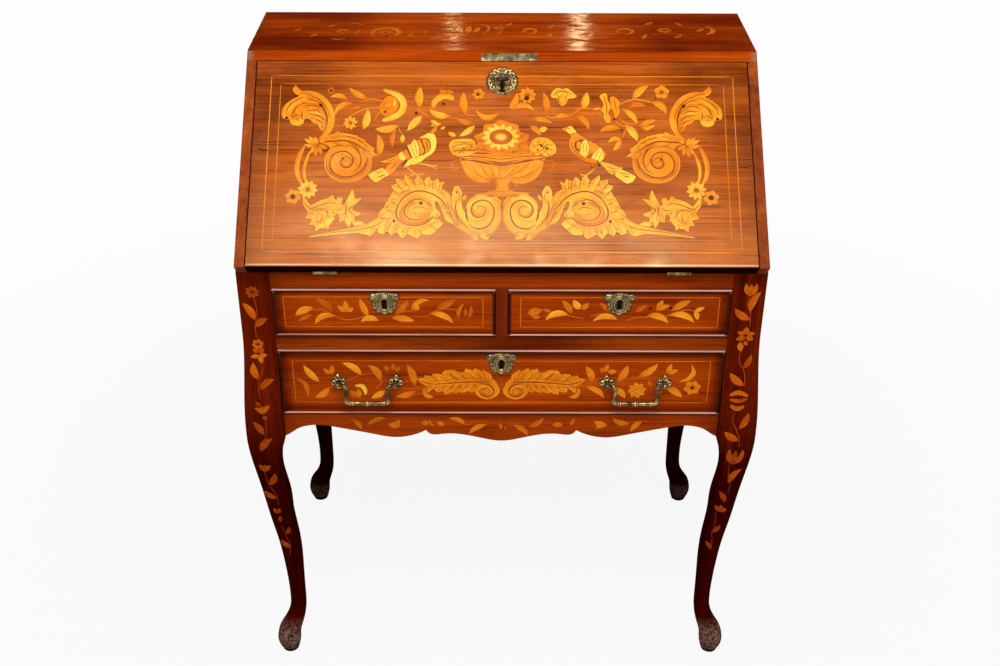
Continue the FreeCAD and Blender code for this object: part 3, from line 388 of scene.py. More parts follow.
woodOn = {
    "fall": ["fall_panel"],
    "drawers": piecesOf(drawers, "_front"),
    "rails": ["writing_board", "front_apron"],
    "midRailShaded": ["mid_rail"],
    "top": ["top_board"],
    "sides": ["side_left", "side_right"],
    "legs": ["leg_front_left", "leg_front_right"],
    "rearLegsShaded": ["leg_rear_left", "leg_rear_right"],
    "beads": piecesOf(drawers, "_cockbead"),
    "inside": ["fall_stop", "gallery_uprights", "gallery_shelves", "gallery_valances",
               *piecesOf(innerDrawers, "_box")],
    "divider": ["drawer_divider"],
    "lining": ["drawer_guides", "dust_panel", "wide_drawer_runners", "rear_rail", *piecesOf(drawers, "_box")],
    "back": ["back_boards"],
}


def cover(covered, finish):
    for node in covered:
        materials = nodes[node].data.materials
        for place in range(len(materials)):
            materials[place] = finish


for woodName, look in woods.items():
    cover(woodOn[woodName], walnutFinish("walnut_" + woodName, look))
print("wood finishes", len(woods))


# cast brass, dull and green-gold with grime in the low places; colours go from grime to worn
metalStops = (0.32, 0.46, 0.6, 0.74)
metalLook = {"cloud": (90.0, 90.0, 90.0), "grain": (700.0, 700.0, 700.0), "speck": (0.35, 0.3, 0.24),
             "hollow": (0.002, 0.0015, 0.001), "bump": 0.25}


def brassFinish(name, look):
    finish, tree, shader = newFinish(name)
    cloud = cloudAt(tree, metalLook["cloud"], 5.0, 0.6)
    grain = cloudAt(tree, metalLook["grain"], 3.0, 0.5)
    colour = tinted(tree, cloud, metalStops, look["colours"])
    colour = stained(tree, times(tree, spread(tree, grain, 0.56, 0.7), 0.6), colour, metalLook["speck"])
    if "relief" in look:
        relief = attributeOf(tree, look["relief"])
        colour = painted(tree, times(tree, spread(tree, relief, 0.4, 0.0), 0.85), colour, look["colours"][0])
        colour = painted(tree, times(tree, spread(tree, relief, 0.6, 1.0), 0.6), colour, look["colours"][-1])
        # painted shade: the keyhole's floor, rows of tone below zero, goes near black
        colour = painted(tree, spread(tree, relief, -0.1, -0.5), colour, metalLook["hollow"])
    plug(tree, shader.inputs["Base Color"], colour)
    shader.inputs["Metallic"].default_value = look["metal"]
    roughened(tree, shader, cloud, look["rough"] + 0.14, look["rough"] - 0.06)
    raised(tree, shader, plus(tree, cloud, times(tree, grain, 0.4)), metalLook["bump"], bumpHeight)
    return finish


metals = {
    "brass": {"colours": [(0.04, 0.024, 0.007), (0.16, 0.1, 0.028), (0.29, 0.195, 0.06), (0.52, 0.4, 0.16)],
              "metal": 0.9, "rough": 0.34},
    "cast": {"colours": [(0.012, 0.007, 0.003), (0.11, 0.07, 0.024), (0.24, 0.16, 0.056), (0.62, 0.48, 0.23)],
             "metal": 0.9, "rough": 0.28, "relief": "relief"},
    "iron": {"colours": [(0.012, 0.009, 0.007), (0.03, 0.023, 0.018), (0.06, 0.046, 0.036),
                         (0.14, 0.1, 0.075)], "metal": 0.85, "rough": 0.42},
    "strike": {"colours": [(0.018, 0.011, 0.005), (0.075, 0.05, 0.024), (0.17, 0.125, 0.055),
                           (0.5, 0.4, 0.17)], "metal": 0.7, "rough": 0.42},
}
metalOn = {
    "brass": ["hinge_fixed_leaves", "hinge_moving_leaves", "bail_nuts", "bail_left", "bail_right",
              "bail_rosettes", "fall_escutcheon", *piecesOf(innerDrawers, "_knob"),
              *piecesOf(drawers, "_escutcheon")],
    "iron": ["hinge_pins", "fall_lock_case", "fall_bolt", "fall_key", *piecesOf(drawers, "_lock_case"),
             *piecesOf(drawers, "_lock_bolt")],
    "strike": ["strike_plate"],
    "cast": [],
}
metal = {}
for metalName, look in metals.items():
    metal[metalName] = brassFinish("metal_" + metalName, look)
    cover(metalOn[metalName], metal[metalName])


# writing leather: pebbled, darker where hands have rested
leather = {"colours": [(0.03, 0.012, 0.007), (0.062, 0.022, 0.012), (0.11, 0.045, 0.026)],
           "stops": (0.34, 0.52, 0.7), "pebble": 900.0, "crease": (0.4, 0.32, 0.28), "rough": (0.46, 0.62),
           "bump": 0.35, "bumpHeight": 0.0005}


def leatherFinish(look):
    finish, tree, shader = newFinish("leather_writing")
    pebbles = addNode(tree, "TexVoronoi", Vector=onObject(tree), Scale=look["pebble"]).outputs["Distance"]
    cloud = cloudAt(tree, (9.0, 9.0, 9.0), 5.0, 0.6)
    colour = tinted(tree, cloud, look["stops"], look["colours"])
    colour = stained(tree, times(tree, spread(tree, pebbles, 0.3, 0.75), 0.5), colour, look["crease"])
    plug(tree, shader.inputs["Base Color"], colour)
    roughened(tree, shader, cloud, *look["rough"])
    raised(tree, shader, times(tree, pebbles, -1.0), look["bump"], look["bumpHeight"])
    return finish


cover(["fall_leather"], leatherFinish(leather))
print("metal and leather finishes done")


# inlay woods: tone picks the wood, sand-scorched along one edge, dark saw line round each slip
def inlayFinish(name, changes):
    look = {**plainInlay, **changes}
    finish, tree, shader = newFinish(name)
    runAlong, runAcross, halfWidth, toneHere = (attributeOf(tree, key) for key in slipValues)
    side = times(tree, runAcross, halfWidth)
    place = addNode(tree, "CombineXYZ", X=times(tree, runAlong, look["along"]),
                    Y=times(tree, side, look["across"]), Z=times(tree, toneHere, look["apart"]))
    grain = cloudy(tree, place.outputs[0], 4.0, 0.6, 0.3)
    patch = cloudAt(tree, (24.0, 24.0, 24.0), 4.0, 0.6)
    tone = plus(tree, toneHere, spread(tree, grain, 0.25, 0.75, -0.13, 0.13),
                spread(tree, patch, 0.3, 0.7, -0.09, 0.09))
    colour = tinted(tree, tone, look["stops"], look["colours"])
    scorched = times(tree, spread(tree, runAcross, 0.15, 1.0), 0.75)
    heel = times(tree, spread(tree, runAlong, 0.4, 0.0), 0.5)
    shade = times(tree, calc(tree, "ADD", scorched, heel, True), look["scorch"])
    colour = stained(tree, shade, colour, look["burnt"])
    fromEdge = times(tree, calc(tree, "SUBTRACT", 1.0, calc(tree, "ABSOLUTE", runAcross)), halfWidth)
    saw = times(tree, spread(tree, fromEdge, look["saw"], look["saw"] * 0.35), look["sawDark"],
                spread(tree, halfWidth, 0.8, 1.6))
    vein = times(tree, spread(tree, calc(tree, "ABSOLUTE", side), 0.5, 0.15),
                 spread(tree, halfWidth, 2.2, 3.6), look["vein"])
    colour = painted(tree, calc(tree, "MAXIMUM", saw, vein), colour, look["line"])
    colour = painted(tree, spread(tree, toneHere, -0.1, -0.4), colour, look["line"])
    plug(tree, shader.inputs["Base Color"], colour)
    roughened(tree, shader, patch, look["rough"] - 0.05, look["rough"] + 0.08)
    shader.inputs["Specular IOR Level"].default_value = look["gloss"]
    shader.inputs["Specular Tint"].default_value = (*look["varnish"], 1)
    shader.inputs["Coat Weight"].default_value = look["coat"]
    shader.inputs["Coat Roughness"].default_value = look["coatRough"]
    raised(tree, shader, grain, look["bump"], look["bumpHeight"])
    return finish


slipValues = ("runAlong", "runAcross", "halfWidth", "tone")
plainInlay = {"stops": (0.0, 0.3, 0.6, 0.8, 1.0), "scorch": 0.6, "saw": 0.5, "sawDark": 0.6, "vein": 0.4,
              "line": (0.05, 0.006, 0.001), "rough": 0.4, "varnish": (1, 1, 1), "coat": 0.0,
              "coatRough": 0.12, "bump": 0.1, "bumpHeight": 0.0003, "along": 7.0, "across": 1.6,
              "apart": 53.0}
inlayLooks = {
    "fall": {
        "colours": [(0.27, 0.046, 0.004), (0.53, 0.122, 0.005), (0.69, 0.195, 0.007), (0.77, 0.305, 0.018),
                    (0.84, 0.45, 0.05)],
        "stops": (0.0, 0.35, 0.6, 0.8, 1.0), "burnt": (0.4, 0.2, 0.06), "scorch": 0.8,
        "line": (0.06, 0.012, 0.002), "rough": 0.21, "gloss": 0.16, "varnish": (1.0, 0.82, 0.44)},
    "drawers": {
        "colours": [(0.32, 0.045, 0.003), (0.55, 0.115, 0.005), (0.8, 0.23, 0.009), (0.9, 0.35, 0.02),
                    (0.96, 0.53, 0.06)],
        "stops": (0.0, 0.35, 0.6, 0.8, 1.0), "burnt": (0.5, 0.3, 0.14), "sawDark": 0.65, "vein": 0.45,
        "gloss": 0.015},
    "legs": {
        "colours": [(0.13, 0.012, 0.001), (0.26, 0.03, 0.002), (0.52, 0.1, 0.004), (0.66, 0.18, 0.01),
                    (0.78, 0.32, 0.04)],
        "burnt": (0.5, 0.28, 0.14), "line": (0.035, 0.004, 0.001), "gloss": 0.016},
    "top": {
        "colours": [(0.24, 0.03, 0.002), (0.42, 0.08, 0.004), (0.62, 0.16, 0.008), (0.76, 0.26, 0.016),
                    (0.86, 0.4, 0.05)],
        "burnt": (0.45, 0.26, 0.14), "scorch": 0.7, "sawDark": 0.5, "rough": 0.42, "gloss": 0.0,
        "coat": 0.08},
}
inlay = {key: inlayFinish("inlay_" + key, look) for key, look in inlayLooks.items()}
print("inlay finishes", len(inlay))


# inlay blanks, modelled once: slips of three lengths and a round
slipCells = {"short": 10, "middle": 24, "long": 60}
blanks = {}
for kind, cells in slipCells.items():
    bpy.ops.mesh.primitive_grid_add(x_subdivisions=cells, y_subdivisions=2, size=2)
    blanks[kind] = bpy.context.object
bpy.ops.mesh.primitive_circle_add(vertices=14, radius=1, fill_type="TRIFAN")
blanks["round"] = bpy.context.object
shapes = {kind: [vertex.co.to_2d() for vertex in blank.data.vertices] for kind, blank in blanks.items()}

# millimetres above the wood, each kind a hair over the last; neighbours differ by a step
inlayLift = {"rim": 0.02, "mass": 0.04, "disc": 0.05, "band": 0.08, "leaf": 0.17, "cut": 0.25, "petal": 0.26,
             "eye": 0.31, "dot": 0.36, "step": 0.015}
inlayTone = {"dark": -0.6, "cut": -0.25}
inlayCut = {"manyPoints": 6, "least": 0.25, "blunt": 0.06, "rimWidth": 1.3, "massSteps": 4, "tension": 0.35,
            "roundAlong": 0.6, "massHalf": 2.0, "petalStart": 0.22, "petalWidth": 5.2, "petalTurn": 0.25,
            "depth": 0.0005}


def smoothLine(points, count):
    # a curve through given points, each (x, y, width)
    last = len(points) - 1
    line = []
    for step in range(count + 1):
        place = step / count * last
        first = min(int(place), last - 1)
        share = place - first
        near = (points[min(max(first + shift, 0), last)] for shift in (-1, 0, 1, 2))
        line.append(tuple(0.5 * (2 * q + (r - p) * share + (2 * p - 5 * q + 4 * r - s) * share ** 2
                                 + (3 * q - p - 3 * r + s) * share ** 3) for p, q, r, s in zip(*near)))
    return line


def bandLine(points, count):
    # the curve with both ends rounded off
    line = smoothLine(points, count)
    run = [0.0]
    for one, two in zip(line, line[1:]):
        run.append(run[-1] + math.hypot(two[0] - one[0], two[1] - one[1]))
    ended = []
    for (x, y, width), at in zip(line, run):
        near = min(at, run[-1] - at)
        half = max(width, 0.3) / 2
        blunt = math.sqrt(max(0.0, 1 - (1 - min(near / half, 1)) ** 2))
        ended.append((x, y, 2 * half * max(blunt, inlayCut["blunt"])))
    return ended


def leafLine(leaf, count):
    # a bent leaf from its heel to its tip, widest before the middle
    x0, y0, x1, y1, width, bend, tone = leaf
    midX = (x0 + x1) / 2 - (y1 - y0) * bend * 2
    midY = (y0 + y1) / 2 + (x1 - x0) * bend * 2
    least = inlayCut["least"]
    line = []
    for step in range(count + 1):
        t = step / count
        x = (1 - t) ** 2 * x0 + 2 * t * (1 - t) * midX + t * t * x1
        y = (1 - t) ** 2 * y0 + 2 * t * (1 - t) * midY + t * t * y1
        full = width * math.sin(math.pi * t ** 0.9) ** 0.75 if 0 < t < 1 else least
        line.append((x, y, max(least, full)))
    return line


def closedLine(points, steps):
    # a closed curve, for the outline of a sawn mass
    count = len(points)
    pull = inlayCut["tension"]
    line = []
    for first in range(count):
        near = [points[(first + shift) % count] for shift in (-1, 0, 1, 2)]
        for step in range(steps):
            share = step / steps
            line.append(tuple(q + pull * (r - p) * share
                              + (2 * pull * p + (pull - 3) * q + (3 - 2 * pull) * r - pull * s) * share ** 2
                              + ((2 - pull) * (q - r) + pull * (s - p)) * share ** 3
                              for p, q, r, s in zip(*near)))
    return line


def layRows(line, mirrored):
    # centre, left-hand normal and half width at each step of a line
    rows = []
    for step, (x, y, width) in enumerate(line):
        before = line[max(step - 1, 0)]
        after = line[min(step + 1, len(line) - 1)]
        runX = after[0] - before[0]
        runY = after[1] - before[1]
        length = math.hypot(runX, runY) or 1.0
        rows.append((x, y, -runY / length, runX / length, width / 2))
    if mirrored:
        rows = [(-x, y, -normalX, normalY, half) for x, y, normalX, normalY, half in rows]
    return rows


def finishSlip(mesh, mirrored, *values):
    # each value is a list, or one number for the whole slip
    for key, value in zip(slipValues, values):
        numbers = value if isinstance(value, list) else [value] * len(mesh.vertices)
        mesh.attributes.new(key, "FLOAT", "POINT").data.foreach_set("value", numbers)
    if mirrored:
        mesh.flip_normals()
    return mesh


def cutSlip(kind, line, tone, lift, place, mirrored):
    mesh = blanks[kind].data.copy()
    rows = layRows(line, mirrored)
    steps = [(u + 1) / 2 for u, v in shapes[kind]]
    halfWidth = []
    for vertex, step, (u, v) in zip(mesh.vertices, steps, shapes[kind]):
        x, y, normalX, normalY, half = rows[min(round(step * slipCells[kind]), len(rows) - 1)]
        vertex.co = place(x + normalX * v * half, y + normalY * v * half, lift)
        halfWidth.append(half)
    return finishSlip(mesh, mirrored, steps, [v for u, v in shapes[kind]], halfWidth, tone)


def cutBand(points, tone, lift, place, mirrored):
    kind = "long" if len(points) > inlayCut["manyPoints"] else "middle"
    return cutSlip(kind, bandLine(points, slipCells[kind]), tone, lift, place, mirrored)


def cutLeaf(leaf, lift, place, mirrored):
    return cutSlip("short", leafLine(leaf, slipCells["short"]), leaf[-1], lift, place, mirrored)


def cutRound(x, y, radiusX, radiusY, tone, lift, place, mirrored):
    mesh = blanks["round"].data.copy()
    for vertex, (u, v) in zip(mesh.vertices, shapes["round"]):
        placeX = x + u * radiusX
        vertex.co = place(-placeX if mirrored else placeX, y + v * radiusY, lift)
    across = [math.hypot(u, v) for u, v in shapes["round"]]
    return finishSlip(mesh, mirrored, inlayCut["roundAlong"], across, min(radiusX, radiusY), tone)


def cutMass(points, tone, place, mirrored):
    # a sawn mass and the dark line round it
    line = closedLine(points, inlayCut["massSteps"])
    if sum(a[0] * b[1] - b[0] * a[1] for a, b in zip(line, line[1:] + line[:1])) < 0:
        line.reverse()
    bpy.ops.mesh.primitive_circle_add(vertices=len(line), radius=1, fill_type="NGON")
    model = bpy.context.object
    mesh = model.data.copy()
    bpy.data.objects.remove(model)
    for vertex, (x, y) in zip(mesh.vertices, line):
        vertex.co = place(-x if mirrored else x, y, inlayLift["mass"])
    meshes = [finishSlip(mesh, mirrored, inlayCut["roundAlong"], 0.0, inlayCut["massHalf"], tone)]
    count = len(line)
    cells = slipCells["middle"]
    for first in range(0, count, cells):
        run = [line[step % count] for step in range(first, min(first + cells, count) + 1)]
        rimLine = [(x, y, inlayCut["rimWidth"]) for x, y in run]
        meshes.append(cutSlip("middle", rimLine, inlayTone["dark"], inlayLift["rim"], place, mirrored))
    return meshes


def petals(x, y, radius, count, tone, flat=1.0):
    leaves = []
    for step in range(count):
        turn = 2 * math.pi * (step + inlayCut["petalTurn"]) / count
        acrossX = radius * math.cos(turn)
        acrossY = radius * math.sin(turn) * flat
        start = inlayCut["petalStart"]
        leaves.append((x + start * acrossX, y + start * acrossY, x + acrossX, y + acrossY,
                       inlayCut["petalWidth"] * radius / count, 0, tone))
    return leaves


def stepped(kind, items, turns):
    # each item with its lift, so that neighbours never share a plane
    return [(item, inlayLift[kind] + inlayLift["step"] * (count % turns)) for count, item in enumerate(items)]


def cutDesign(design, *how):
    meshes = []
    for tone, *points in design.get("masses", []):
        meshes += cutMass(points, tone, *how)
    for disc, lift in stepped("disc", design.get("discs", []), 2):
        meshes.append(cutRound(*disc, lift, *how))
    for (tone, *points), lift in stepped("band", design.get("bands", []), 5):
        meshes.append(cutBand(points, tone, lift, *how))
    for leaf, lift in stepped("leaf", design.get("leaves", []), 5):
        meshes.append(cutLeaf(leaf, lift, *how))
    for points in design.get("cuts", []):
        meshes.append(cutBand(points, inlayTone["cut"], inlayLift["cut"], *how))
    for bloom in design.get("blooms", []):
        for leaf, lift in stepped("petal", petals(*bloom), 3):
            meshes.append(cutLeaf(leaf, lift, *how))
    for eye, lift in stepped("eye", design.get("eyes", []), 3):
        meshes.append(cutRound(*eye, lift, *how))
    for x, y, radius in design.get("dots", []):
        meshes.append(cutRound(x, y, radius, radius, inlayTone["dark"], inlayLift["dot"], *how))
    return meshes


def pickOnly(pieces):
    bpy.ops.object.select_all(action="DESELECT")
    for piece in pieces:
        piece.select_set(True)
    bpy.context.view_layer.objects.active = pieces[0]


def joinPieces(name, pieces):
    pickOnly(pieces)
    bpy.ops.object.join()
    pieces[0].name = name
    return pieces[0]


def finishPiece(piece, finish, body):
    piece.data.materials.clear()
    piece.data.materials.append(finish)
    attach(piece, body)
    print(piece.name, len(piece.data.polygons), "faces")


def inlayPanel(name, designs, place, finish, body):
    meshes = []
    for design, sides in designs:
        for mirrored in sides:
            meshes += cutDesign(design, place, mirrored)
    slips = [bpy.data.objects.new(name, mesh) for mesh in meshes]
    for slip in slips:
        bpy.context.collection.objects.link(slip)
    piece = joinPieces(name, slips[::-1])
    slab = piece.modifiers.new("slab", "SOLIDIFY")
    slab.thickness = inlayCut["depth"]
    slab.offset = -1
    bpy.ops.object.modifier_apply(modifier=slab.name)
    finishPiece(piece, finish, body)


both = (False, True)
single = (False,)


def stringBox(x0, x1, y0, y1, width, tone):
    # four straight strings mitred round a rectangle
    half = width / 2
    level = [[tone, (x0 - half, y, width), (x1 + half, y, width)] for y in (y0, y1)]
    return level + [[tone, (x, y0 - half, width), (x, y1 + half, width)] for x in (x0, x1)]


# the fall: scrolls alike on both halves, sprays and birds drawn for each side
# bands and masses start with their tone; leaves are (from, to, width, bend, tone); rounds end with theirs
fallPair = {"masses": [
    [0.6, (324.4, 298), (319.6, 289), (312, 285.6), (298, 285.6), (286, 282), (275, 274), (267, 263),
     (262, 251), (261.5, 239), (264, 229), (269.6, 218), (276.4, 207.6), (281, 210), (276.4, 218),
     (274.4, 225), (277, 230), (282, 229), (286, 235), (291, 235), (297, 242), (305, 243), (306, 236),
     (311, 231.6), (318, 230.6), (325, 233), (328, 238), (328, 242), (333, 241), (339, 243.6), (341.4, 250),
     (340, 260), (334, 269), (324, 277), (315, 282), (321, 285), (325.5, 291)],
    [0.54, (281, 204), (268, 214), (252, 222), (246, 217.5), (231, 217.5), (226, 214), (212, 209),
     (208, 203), (196, 193), (198, 188), (189, 180), (198, 180), (200, 166), (207, 150), (221, 140),
     (237, 136.5), (254, 140), (266, 150), (272, 164), (272, 180), (264, 193), (268, 198)],
    [0.72, (0.6, 92), (3, 107), (12, 117), (25, 120), (38, 117), (48, 109), (54, 98), (55.5, 88), (60, 96),
     (62, 110), (60.5, 121), (66, 131), (72, 131), (76, 121), (76, 110), (80, 104), (86, 116), (92, 127),
     (87, 139), (94, 134), (98, 144), (105, 137), (112, 147), (119, 139), (128, 149), (135, 140), (148, 150),
     (150, 141), (162, 143), (160, 135), (169, 132), (164, 125), (174, 108), (168, 106), (179, 97),
     (174, 92), (187, 84), (184, 79), (193, 76), (210, 69), (227, 70), (222, 65), (245, 60), (291, 47.5),
     (245, 52), (215, 54), (198, 50), (191, 57), (179, 52), (174, 60), (167, 50), (161, 58), (150, 46),
     (144, 54), (128, 46), (122, 52), (107, 52), (98, 60), (89, 70), (97, 77), (93, 86), (100, 95),
     (102, 106), (97, 105), (90, 98), (93, 96), (84, 88), (88, 84), (78, 76), (70, 68), (62, 61), (50, 49),
     (38, 43), (34, 48), (22, 44), (18, 51), (8, 61), (2, 76)],
    [0.71, (303, 110), (298, 108), (288, 98), (276, 106), (262, 110), (257, 116), (252, 108), (247, 114),
     (243, 106), (240, 98), (234, 112), (227, 126), (226, 110), (213, 111), (222, 100), (226, 92), (212, 86),
     (222, 80), (221, 70), (229, 74), (231, 63), (238, 74), (245, 72), (247, 84), (256, 88), (252, 76),
     (260, 70), (261, 60), (270, 64), (280, 57), (282, 66), (290, 68), (287, 76), (297, 79), (293, 88),
     (300, 98)]
], "discs": [
    (317, 243, 8, 8, 0.73), (238, 170, 10, 10, 0.55), (34, 92, 12, 12, 0.72), (132, 86, 24, 20, 0.66)
], "bands": [
    [0.63, (312, 288, 4), (300, 287, 8), (285, 281, 10), (273, 268, 12), (266, 250, 14), (266, 232, 13),
     (273, 215, 8), (281, 206, 2)],
    [0.53, (275, 217, 2), (273, 234, 5), (277, 252, 7), (288, 265, 7), (303, 267, 3)],
    [0.73, (290, 274, 2), (306, 277, 7), (320, 271, 10), (332, 259, 11), (337, 248, 8), (331, 242, 2)],
    [0.68, (300, 268, 2), (312, 267, 7), (320, 257, 8), (314, 250, 3)],
    [0.78, (308, 251, 4), (310, 242, 10), (318, 237, 11), (326, 242, 6)],
    [0.6, (303, 197, 4), (310, 182, 8), (313.5, 163, 8), (311, 146, 7), (305, 135, 4)],
    [0.7, (294, 189, 3), (299, 175, 5.5), (302, 160, 5.5), (301, 146, 5), (298, 137, 3)],
    [0.68, (277, 206, 3), (262, 211, 13), (243, 212, 14), (222, 206, 13), (207, 194, 10), (195, 180, 2)],
    [0.58, (207, 190, 5), (203, 173, 9), (207, 156, 10), (220, 144, 9), (240, 140, 8), (257, 146, 8),
     (267, 160, 8), (268, 176, 8), (259, 189, 8), (244, 193, 7), (231, 187, 7), (224, 175, 6), (228, 163, 6),
     (238, 158, 5), (247, 163, 5), (249, 172, 4), (243, 178, 2)],
    [0.5, (236, 204, 3), (222, 197, 7), (214, 184, 8), (213, 170, 8), (219, 157, 7), (231, 150, 2)],
    [0.81, (301, 112, 6), (297, 104, 6), (288, 96, 3)],
    [0.76, (294, 88, 2), (286, 97, 6), (272, 104, 8), (258, 107, 8), (248, 102, 4)],
    [0.71, (293, 84, 2), (283, 92, 5), (269, 97, 7), (257, 92, 6)],
    [0.84, (262, 94, 5), (260, 80, 11), (266, 69, 12), (278, 66, 6)],
    [0.76, (272, 92, 3), (278, 82, 7), (275, 72, 4)],
    [0.78, (64, 68, 9), (46, 55, 14), (26, 55, 16), (10, 70, 15), (6, 90, 13), (14, 107, 12), (30, 114, 11),
     (45, 108, 9), (52, 95, 7), (49, 82, 6), (40, 76, 6), (29, 79, 6), (23, 90, 6), (28, 101, 6),
     (38, 102, 5), (43, 95, 4), (38, 89, 2)],
    [0.75, (52, 60, 8), (66, 71, 14), (75, 88, 14), (75, 104, 12), (70, 118, 8)],
    [0.76, (66, 66, 6), (79, 90, 13), (92, 111, 16), (108, 124, 17), (128, 130, 16), (148, 128, 13),
     (165, 127, 3)],
    [0.74, (138, 124, 8), (155, 112, 14), (167, 97, 15), (176, 82, 15), (192, 69, 14), (215, 61, 12),
     (245, 56, 8), (290, 48, 2)],
    [0.7, (97, 86, 5), (107, 73, 12), (125, 64, 14), (145, 65, 14), (160, 76, 12), (163, 92, 10),
     (153, 105, 9), (136, 112, 8), (118, 111, 6), (106, 104, 3)]
], "leaves": [
    (308, 288, 322, 301, 7, -0.2, 0.58), (272, 242, 301, 252, 10, 0.25, 0.73),
    (272, 236, 297, 243, 8, 0.2, 0.63), (273, 229, 289, 236, 7, 0.15, 0.68),
    (275, 222, 282, 229, 5, 0.1, 0.58), (282, 256, 306, 259, 6, 0.25, 0.63),
    (284, 199, 304, 209, 7, 0, 0.68), (284, 200, 297, 213, 7, 0, 0.63), (283, 200, 288, 212, 7, 0, 0.68),
    (286, 197, 304, 199, 7, 0, 0.6), (285, 196, 295, 185, 7, 0, 0.7), (284, 196, 287, 180, 7, 0, 0.55),
    (282, 197, 277, 183, 7, 0, 0.6), (282, 199, 269, 192, 7, 0, 0.55), (280, 203, 272, 206, 6, 0, 0.68),
    (264, 213, 250, 222, 7, 0.15, 0.63), (238, 213, 222, 215, 6, 0.1, 0.68),
    (222, 208, 208, 205, 6, 0.1, 0.63), (212, 199, 196, 189, 7, 0.1, 0.6), (212, 190, 200, 176, 7, 0.1, 0.5),
    (262, 205, 247, 199, 7, -0.1, 0.58), (225, 180, 217, 163, 6, 0.1, 0.5),
    (240, 180, 232, 170, 6, 0.2, 0.5), (246, 186, 236, 181, 5, 0.2, 0.5), (262, 106, 258, 115, 5, 0, 0.71),
    (250, 98, 243, 113, 7, 0.1, 0.76), (262, 80, 250, 88, 6, 0.1, 0.76), (268, 70, 262, 60, 5, 0, 0.76),
    (276, 72, 287, 68, 5, 0, 0.71), (284, 86, 296, 80, 5, 0, 0.66), (234, 90, 227, 125, 11, 0.06, 0.82),
    (232, 92, 213, 110, 8, -0.1, 0.76), (230, 88, 213, 85, 8, 0.1, 0.78), (233, 92, 230, 64, 12, 0.05, 0.84),
    (237, 90, 249, 102, 8, 0.1, 0.76), (237, 88, 244, 74, 8, -0.1, 0.78), (230, 80, 222, 71, 6, 0, 0.76),
    (67, 103, 70, 130, 13, -0.05, 0.75), (61, 108, 55, 117, 6, 0.1, 0.7), (66, 72, 88, 86, 8, -0.15, 0.78),
    (70, 80, 92, 97, 8, -0.15, 0.75), (74, 90, 97, 106, 8, -0.1, 0.78), (80, 98, 92, 126, 9, 0.15, 0.74),
    (95, 118, 89, 138, 9, -0.15, 0.76), (104, 126, 101, 142, 8, -0.1, 0.72),
    (112, 130, 113, 146, 9, -0.1, 0.78), (124, 133, 129, 147, 9, -0.1, 0.74),
    (136, 133, 148, 148, 9, -0.1, 0.78), (146, 130, 161, 141, 9, -0.08, 0.72),
    (151, 124, 168, 131, 8, -0.08, 0.78), (152, 118, 172, 108, 8, 0.1, 0.74),
    (162, 108, 177, 99, 8, 0.1, 0.72), (170, 95, 186, 84, 8, 0.1, 0.72), (172, 78, 178, 54, 9, -0.12, 0.74),
    (160, 70, 166, 52, 8, -0.1, 0.7), (146, 62, 150, 48, 8, -0.1, 0.74), (128, 60, 128, 48, 7, 0.1, 0.72),
    (112, 68, 92, 74, 8, -0.15, 0.76), (104, 78, 95, 88, 7, -0.1, 0.72), (192, 66, 197, 52, 7, -0.1, 0.72),
    (206, 68, 226, 70, 7, 0.1, 0.86), (34, 56, 22, 45, 8, 0.1, 0.74), (44, 54, 38, 44, 6, 0, 0.7),
    (104, 92, 142, 94, 24, 0.1, 0.72), (110, 100, 134, 106, 8, 0.2, 0.76)
], "cuts": [
    [(303, 277, 0.6), (288, 273, 1.4), (276, 260, 1.8), (270, 242, 1.6), (273, 222, 0.8)],
    [(302, 281, 0.4), (286, 277, 0.9), (272, 262, 1), (266, 243, 0.6)],
    [(308, 279, 0.5), (322, 272, 1.2), (332, 261, 1.4), (334, 249, 0.8)],
    [(303, 271, 0.6), (316, 264, 1.5), (323, 254, 1.7), (325, 246, 1), (320, 248, 0.8)],
    [(310, 256, 0.8), (309, 246, 1.5), (307, 240, 0.8)], [(314, 240, 0.5), (319, 246, 0.9), (316, 250, 0.5)],
    [(276, 231, 0.9), (283, 240, 1.2), (296, 244, 0.5)], [(275, 240, 0.9), (284, 248, 1.3), (300, 251, 0.5)],
    [(278, 251, 0.9), (288, 257, 1.3), (304, 257, 0.5)], [(284, 262, 0.9), (296, 266, 1.2), (308, 262, 0.5)],
    [(277, 203, 0.6), (258, 205, 1.6), (240, 206, 1.8), (222, 199, 1.5), (208, 187, 0.8)],
    [(206, 178, 0.5), (211, 162, 1.5), (224, 149, 1.8), (243, 146, 1.8), (259, 155, 1.7), (263, 171, 1.7),
     (256, 184, 1.7), (243, 188, 1.6), (232, 183, 1.6), (228, 172, 1.5), (233, 163, 1.5), (243, 162, 1.3),
     (248, 169, 1), (244, 175, 0.7)],
    [(240, 200, 0.6), (225, 193, 1.5), (217, 180, 1.6), (217, 166, 1.4), (225, 154, 0.7)],
    [(268, 180, 0.5), (268, 162, 1), (258, 149, 1), (242, 142, 0.6)],
    [(236, 196, 0.5), (250, 198, 1.1), (264, 193, 0.6)],
    [(252, 214, 0.5), (236, 213, 1), (218, 206, 1), (204, 194, 0.5)],
    [(52, 70, 0.8), (38, 62, 2), (22, 66, 2.2), (13.5, 80, 2.2), (13, 95, 2), (21, 106, 2), (33, 108, 2),
     (43, 102, 2), (47, 92, 1.8), (43, 83, 1.8), (35, 80, 1.6), (27, 84, 1.4), (25, 93, 1.2), (31, 99, 1),
     (38, 96, 0.6)],
    [(54, 97, 0.6), (54, 82, 3), (50, 72, 0.8)],
    [(58, 66, 0.6), (67, 80, 1.5), (70.5, 95, 1.5), (69, 108, 0.7)],
    [(64, 62, 0.5), (74, 76, 1.2), (80, 92, 1.2), (84, 106, 0.5)],
    [(82, 92, 0.8), (92, 108, 1.8), (108, 119, 2), (126, 123, 2), (142, 118, 1.8), (154, 106, 1.8),
     (160, 92, 1.8), (158, 78, 1.8), (146, 69, 1.6), (128, 67, 1.6), (112, 73, 1.4), (104, 84, 0.7)],
